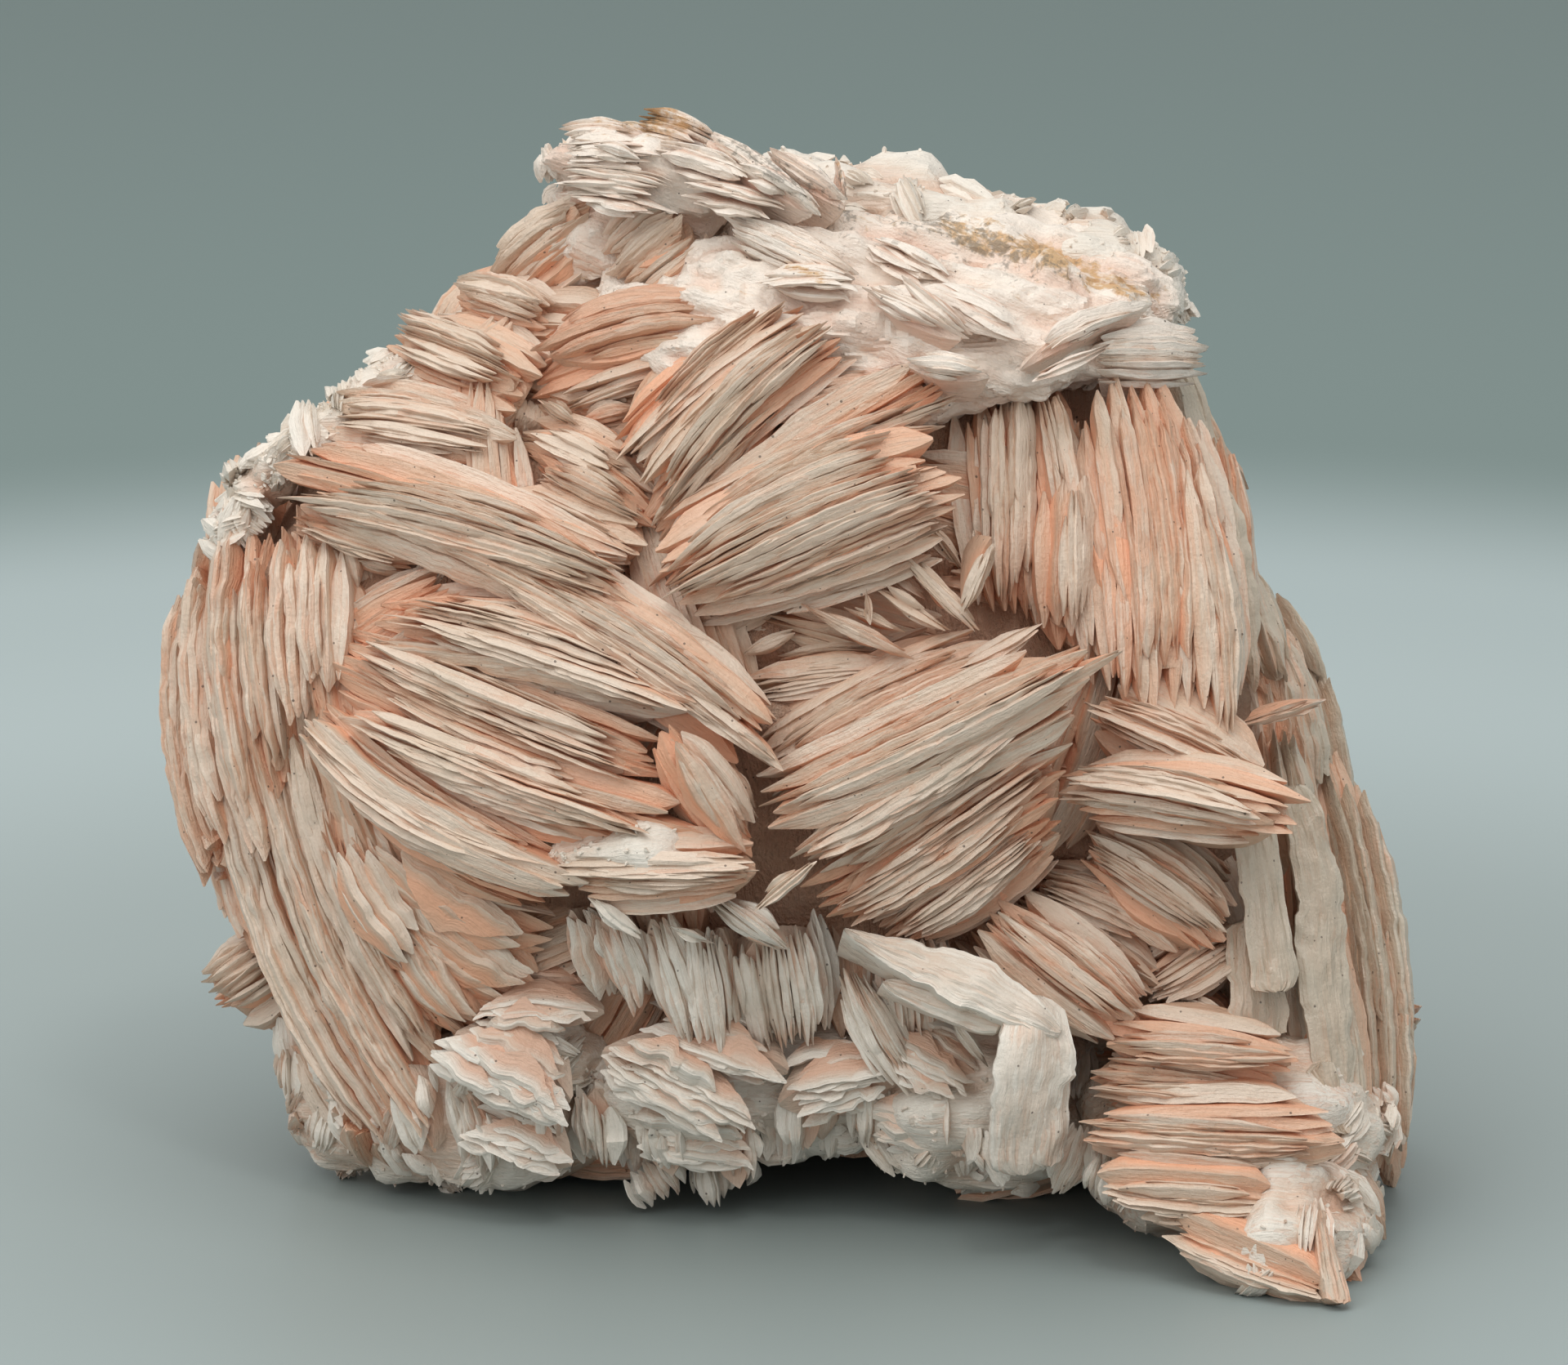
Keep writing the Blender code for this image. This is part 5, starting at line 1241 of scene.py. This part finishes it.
rightPlateRows = (
    ("rightPlate1", ((40.6, 36, 10.5), (42.8, 20.5, 11.5)), (1.8, 2.1), (0.2, 0, 1), 0.9, 0.5, 1, 4),
    ("rightPlate2", ((40.8, 27, 9), (41.3, 16.6, 9.5)), (2.4, 2.6), (0.2, 0, 1), 0.9, 0.2, 1, 4),
    ("rightPlate3", ((44.4, 38.5, 7.5), (46.5, 30, 8), (46.8, 22, 8.5), (48.2, 11.8, 9)),
     (1.6, 2, 2.3, 1.8), (0.35, 0, 1), 1, 0.5, 1, 4),
    ("rightPlate4", ((46.4, 14.5, 10.5), (48.8, 8.3, 11)), (1.3, 1.2), (0.3, 0, 1), 0.8, 0.3, 1, 4),
    ("rightPlate5", ((47, 9, 9), (49.8, -1.8, 9.5)), (1.6, 1.5), (0.4, 0, 1), 0.8, 0.2, 1, 4),
    ("footFace", ((46.2, 2, 20.5), (47.8, -6, 25)), (0.8, 1.2), (0.5, 0.1, 1), 0.7, -0.5, 1, 3),
)
plateForm = {
    "lanes": 17, "step": 0.5,
    "tooth": (1.6, 0.10), "nick": (0.7, 0.05),      # along the rims, as length and height
    "endTooth": (0.7, 0.8),
    "wave": (2.5, 0.14),
    "sheets": (1.8, 0.45), "grain": (0.8, 0.16),    # on the faces
    "sheetStretch": (1.0, 0.5, 1.0),
    "paintedShade": 0.24, "backThick": 0.25,
    "narrow": (0.35, 0.1, 0.06),    # width left at the ends, and over which part of the length
    "seed": 61,
}


def splineAt(knots, t):
    knots = np.asarray(knots, float).reshape(len(knots), -1)
    place = np.clip(t, 0.0, 1.0) * (len(knots) - 1)
    low = np.minimum(place.astype(int), len(knots) - 2)
    part = (place - low)[:, None]
    before, after = np.maximum(low - 1, 0), np.minimum(low + 2, len(knots) - 1)
    a, b, c, d = knots[before], knots[low], knots[low + 1], knots[after]
    return 0.5 * (2.0 * b + (c - a) * part + (2.0 * a - 5.0 * b + 4.0 * c - d) * part ** 2
                  + (3.0 * (b - c) + d - a) * part ** 3)


def addPlate(store, row, rng):
    path, halves, facing, thick, tone, ragged, root = row[1:]
    lanes = np.linspace(-1.0, 1.0, plateForm["lanes"])
    length = np.linalg.norm(np.diff(np.asarray(path, float), axis=0), axis=1).sum()
    t = np.linspace(0.0, 1.0, max(10, int(length / plateForm["step"])))
    run = t * length
    step, height = plateForm["endTooth"]
    ends = ragged * stepNoise(rng, (lanes + 1.0) * max(halves), step) * height / length
    facing = unit(np.array(facing, float))
    (tooth, toothHeight), (nick, nickHeight) = plateForm["tooth"], plateForm["nick"]
    rims = []
    for _ in ("left", "right"):
        edge = toothHeight * stepNoise(rng, run, tooth) + nickHeight * smoothNoise(rng, run, nick)
        rims.append(1.0 + ragged * edge)
    left, first, last = plateForm["narrow"]
    taper = np.minimum(1.0, left + (1.0 - left) * np.sqrt(np.minimum(t / first, (1.0 - t) / last)))
    wide = np.cross(facing, np.gradient(splineAt(path, t), axis=0))
    wide /= lengthOf(wide)
    wave, waveHeight = plateForm["wave"]
    (sheet, sheetHeight), (grain, grainHeight) = plateForm["sheets"], plateForm["grain"]
    front = []
    for number, lane in enumerate(lanes):
        along = 0.5 * abs(ends[number]) + t * (1.0 - abs(ends[number]))
        middle, half = splineAt(path, along), splineAt(halves, along)[:, 0] * taper
        rim = rims[0] if lane < 0 else rims[1]
        bulge = 0.5 * thick * (1.0 - lane * lane) + waveHeight * smoothNoise(rng, run, wave)
        spots = middle + wide * (half * rim * lane)[:, None]
        drawn = spots * np.array(plateForm["sheetStretch"])
        bulge = bulge + sheetHeight * stepped(spaceNoise(drawn, sheet, plateForm["seed"]), 3.0)
        bulge = bulge + grainHeight * spaceNoise(spots, grain, plateForm["seed"] + 1)
        front.append(spots + facing * bulge[:, None])
    front = np.stack(front, 1)
    inside = plateForm["backThick"] * thick + root * (1.0 - lanes ** 2)
    points = np.concatenate([front, front[:, ::-1] - facing * inside[None, ::-1, None]], 1)
    rings, sides = points.shape[:2]
    around = np.concatenate([lanes, lanes[::-1]])
    # Painted highlight: the plate's edges are painted as a pale rim, its middle with a little painted shade
    paintedShade = np.tile(plateForm["paintedShade"] * (1.0 - np.abs(around) ** 4), rings)
    streak = np.zeros((rings, sides, 3))
    streak[:, :, 0] = run[:, None]
    streak[:, :, 1] = around * max(halves)
    addShape(store, points.reshape(-1, 3), closedFaces(rings, sides), paintedShade, tone, streak.reshape(-1, 3))


def makePlates(name, rows, material, seed):
    rng = np.random.default_rng(seed)
    store = newStore()
    for row in rows:
        addPlate(store, row, rng)
    makePiece(name, store, material)


makePlates("broadPlates", plateRows, whiteCrust, 27)
makePlates("rightPlates", rightPlateRows, glassyWall, 28)

# Teeth along the ragged lower edge, in two layers. Places: across, up and out of each tip.
fringe = {
    "places": ((-43, 9, -10), (-40.5, 5.5, -9), (-36.5, 4, -7), (-33, 3.8, -6), (-29.5, 2.4, -4),
               (-26, 1.2, -4), (-21.5, 2.8, -3), (-17.5, 4, -2), (-13, 2.8, -2), (-9, 1.2, -2),
               (-5.5, 0.6, -2), (-0.5, 4.2, -1), (3.5, 4.4, -1), (7.5, 5.4, 0), (11.5, 5.2, 1),
               (15.5, 3.2, 3), (19.5, 2.4, 6), (23.5, 2, 9), (28, 1, 12), (32, -0.6, 14),
               (36.5, -2.4, 16)),
    "length": (5.0, 9.0), "width": (3.0, 6.5), "sway": 3.5, "fullness": (0.7, 0.3),
    "behind": (1.6, -2.5),    # how far up and back the second layer stands
    "rootOut": 1.5, "twist": 0.6, "lean": 50.0,
    "form": {"pitch": 0.55, "depth": 3.5, "tone": 0.6, "lift": 0.5, "ragged": 2.4, "split": 20.0,
             "bed": 0.0},
}


def growFringe():
    rng = np.random.default_rng(29)
    store = newStore()
    up, back = fringe["behind"]
    for place in fringe["places"]:
        for layer in (0.0, 1.0):
            tip = np.array(place, float) + (rng.uniform(-1.0, 1.0), up * layer, back * layer)
            sway = rng.uniform(-1.0, 1.0) * fringe["sway"]
            root = tip + (sway, rng.uniform(*fringe["length"]), fringe["rootOut"])
            normal = unit(np.array([rng.uniform(-fringe["twist"], fringe["twist"]), -0.25, 1.0]))
            form = {**fringe["form"], "normal": normal, "lean": rng.uniform(0.0, fringe["lean"])}
            width = rng.uniform(*fringe["width"])
            growPacket(store, ("fringe", root, tip, width, 0.0, fringe["fullness"], form), rng)
    makePiece("fringeBlades", store, whiteCrust)


growFringe()

# Packets over the left, back and right walls, where the photograph doesn't show them, and
# in front, behind the packets of the face. Arcs: name, from and to in degrees, size of the
# packets near the top, and whether they are plain.
rings = {
    "levels": (8.0, 17.0, 26.0, 35.0, 44.0, 53.0, 62.0, 71.0, 79.0, 87.0),
    "arcs": (("leftBack", 178.0, 277.0, 0.62, True), ("rightBack", 263.0, 356.0, 0.62, False),
             ("frontFill", 42.0, 138.0, 1.0, True)),
    "step": 8.9,
    "length": (17.0, 30.0),
    "width": (7.0, 12.0),
    "insets": (3.0, 4.0),
    "topLevel": 75.0,    # the top starts here
    "mixed": {"share": (0.1, 0.5), "up": 3.0, "tone": 0.5, "end": (0.2, 0.7), "bow": 1.2, "out": 1.0},
    "form": {"style": "coarse", "pitch": 0.95, "arch": 0.14, "depth": 7.5, "ragged": 1.6, "split": 14.0},
    "plainForm": {"tone": -0.2, "lower": 1.0, "pitch": 1.2},
    "plainOut": 1.6,
}


def growRings(name, fromAngle, toAngle, topSize, plain, seed):
    rng = np.random.default_rng(seed)
    store = newStore()
    mixed = rings["mixed"]
    for row, level in enumerate(rings["levels"]):
        left, right, _ = levelAt(level)
        around = (right - left) / 2.0 + (face["sideOut"] - backOut(level)) / 2.0
        size = topSize if level > rings["topLevel"] else 1.0
        count = max(2, round(around / (rings["step"] * size)))
        for k in range(count):
            share = (k + 0.5 * (row % 2) + rng.uniform(*mixed["share"])) / count
            angle = math.radians(fromAngle + (toAngle - fromAngle) * min(share, 1.0))
            up = level + rng.uniform(-mixed["up"], mixed["up"])
            across, out = ringPoint(up, angle, *rings["insets"])
            centre = np.array([float(across), up, float(out)])
            normal = outward(centre)
            sideways = unit(np.cross((0.0, 1.0, 0.0), normal))
            heading = rng.uniform(0.0, math.pi)
            along = sideways * math.cos(heading) + np.cross(normal, sideways) * math.sin(heading)
            half = along * rng.uniform(*rings["length"]) * size / 2.0
            form = {**rings["form"], "normal": normal, "tone": rng.uniform(-mixed["tone"], mixed["tone"])}
            ends = (rng.uniform(*mixed["end"]), rng.uniform(*mixed["end"]))
            bow, width = rng.uniform(-mixed["bow"], mixed["bow"]), rng.uniform(*rings["width"])
            centre = centre + rng.uniform(-mixed["out"], mixed["out"]) * normal
            if plain:
                centre = centre + normal * rings["plainOut"]
                form = {**form, **rings["plainForm"]}
            growPacket(store, (name, centre - half, centre + half, width, bow, ends, form), rng)
    makePiece(name, store, pinkBlades)


for seed, arc in enumerate(rings["arcs"]):
    growRings(*arc, 22 + seed)
print("pieces made")

# Floor, light and camera. The floor's painted tones go by the distance from its middle in metres: painted
# shade near the middle under the specimen, a painted band of light further out and darker beyond it.
studio = {
    "viewDistance": 1500.0,
    "lookAtUp": 47.46,          # how far up the face the camera looks
    "imageWidth": 137.07,       # millimetres of the face across the picture
    "sensor": 36.0,
    "floorPaintedShadeAndLight": ((0.00, (0.228, 0.266, 0.259)), (0.10, (0.345, 0.400, 0.398)),
                   (0.175, (0.434, 0.503, 0.508)), (0.215, (0.414, 0.484, 0.489)),
                   (0.275, (0.188, 0.249, 0.238)), (0.60, (0.152, 0.199, 0.191))),
    "floorHalf": 8,             # metres
    "floorRoughness": 0.45, "floorShine": 0.25,
    # Name, place, size, power and colour of each softbox
    "softboxes": (("topLight", (-0.15, -0.22, 0.8), (1.2, 1.1), 5.3, (1.0, 0.99, 0.96)),
                  ("smallLight", (0.12, -0.40, 0.75), (0.12, 0.12), 0.55, (1.0, 0.99, 0.96)),
                  ("frontLight", (-0.7, -0.9, 0.6), (1.0, 1.0), 2.4, (1.0, 0.99, 0.98))),
    "worldColour": (0.86, 0.90, 0.90, 1.0), "worldStrength": 0.63,
}


def makeFloor():
    mesh = bpy.data.meshes.new("floor")
    half = studio["floorHalf"]
    corners = [(-half, -half, 0), (half, -half, 0), (half, half, 0), (-half, half, 0)]
    mesh.from_pydata(corners, [], [(0, 1, 2, 3)])
    floor = bpy.data.objects.new("floor", mesh)
    material = bpy.data.materials.new("paleFloor")
    material.use_nodes = True
    tree = material.node_tree
    surface = tree.nodes["Principled BSDF"]
    surface.inputs["Roughness"].default_value = studio["floorRoughness"]
    surface.inputs["Specular IOR Level"].default_value = studio["floorShine"]
    place = addNode(tree, "TexCoord")
    distance = addNode(tree, "VectorMath", operation="LENGTH")
    ramp = addNode(tree, "ValToRGB")
    stops = ramp.color_ramp.elements
    while len(stops) < len(studio["floorPaintedShadeAndLight"]):
        stops.new(1.0)
    for stop, (position, tone) in zip(stops, studio["floorPaintedShadeAndLight"]):
        stop.position = position
        stop.color = (*tone, 1.0)
    ramp.color_ramp.interpolation = "EASE"
    wire(tree,
         (place.outputs["Object"], distance.inputs[0]),
         (distance.outputs["Value"], ramp.inputs["Fac"]),
         (ramp.outputs["Color"], surface.inputs["Base Color"]))
    mesh.materials.append(material)
    bpy.context.scene.collection.objects.link(floor)


def aim(thing, target):
    direction = Vector(target) - thing.location
    thing.rotation_euler = direction.to_track_quat("-Z", "Y").to_euler()


def addSoftbox(name, place, size, power, colour, target):
    light = bpy.data.lights.new(name, "AREA")
    light.shape = "RECTANGLE"
    light.size, light.size_y = size
    light.energy = power
    light.color = colour
    thing = bpy.data.objects.new(name, light)
    thing.location = place
    bpy.context.scene.collection.objects.link(thing)
    aim(thing, target)


def makeStudio():
    makeFloor()
    middle = Vector(toRow([(0.0, studio["lookAtUp"], 0.0)])[0])
    for softbox in studio["softboxes"]:
        addSoftbox(*softbox, middle)
    world = bpy.data.worlds.new("studio")
    bpy.context.scene.world = world
    world.use_nodes = True
    background = world.node_tree.nodes["Background"]
    background.inputs["Color"].default_value = studio["worldColour"]
    background.inputs["Strength"].default_value = studio["worldStrength"]
    camera = bpy.data.cameras.new("camera")
    camera.sensor_width = studio["sensor"]
    camera.lens = studio["sensor"] * studio["viewDistance"] / studio["imageWidth"]
    camera.clip_end = 20.0
    view = bpy.data.objects.new("camera", camera)
    away = Vector((0.0, -math.cos(face["lean"]), math.sin(face["lean"])))
    view.location = middle + away * studio["viewDistance"] * millimetre
    bpy.context.scene.collection.objects.link(view)
    aim(view, middle)
    bpy.context.scene.camera = view
    bpy.context.scene.view_settings.view_transform = "Standard"


makeStudio()
print("studio made")
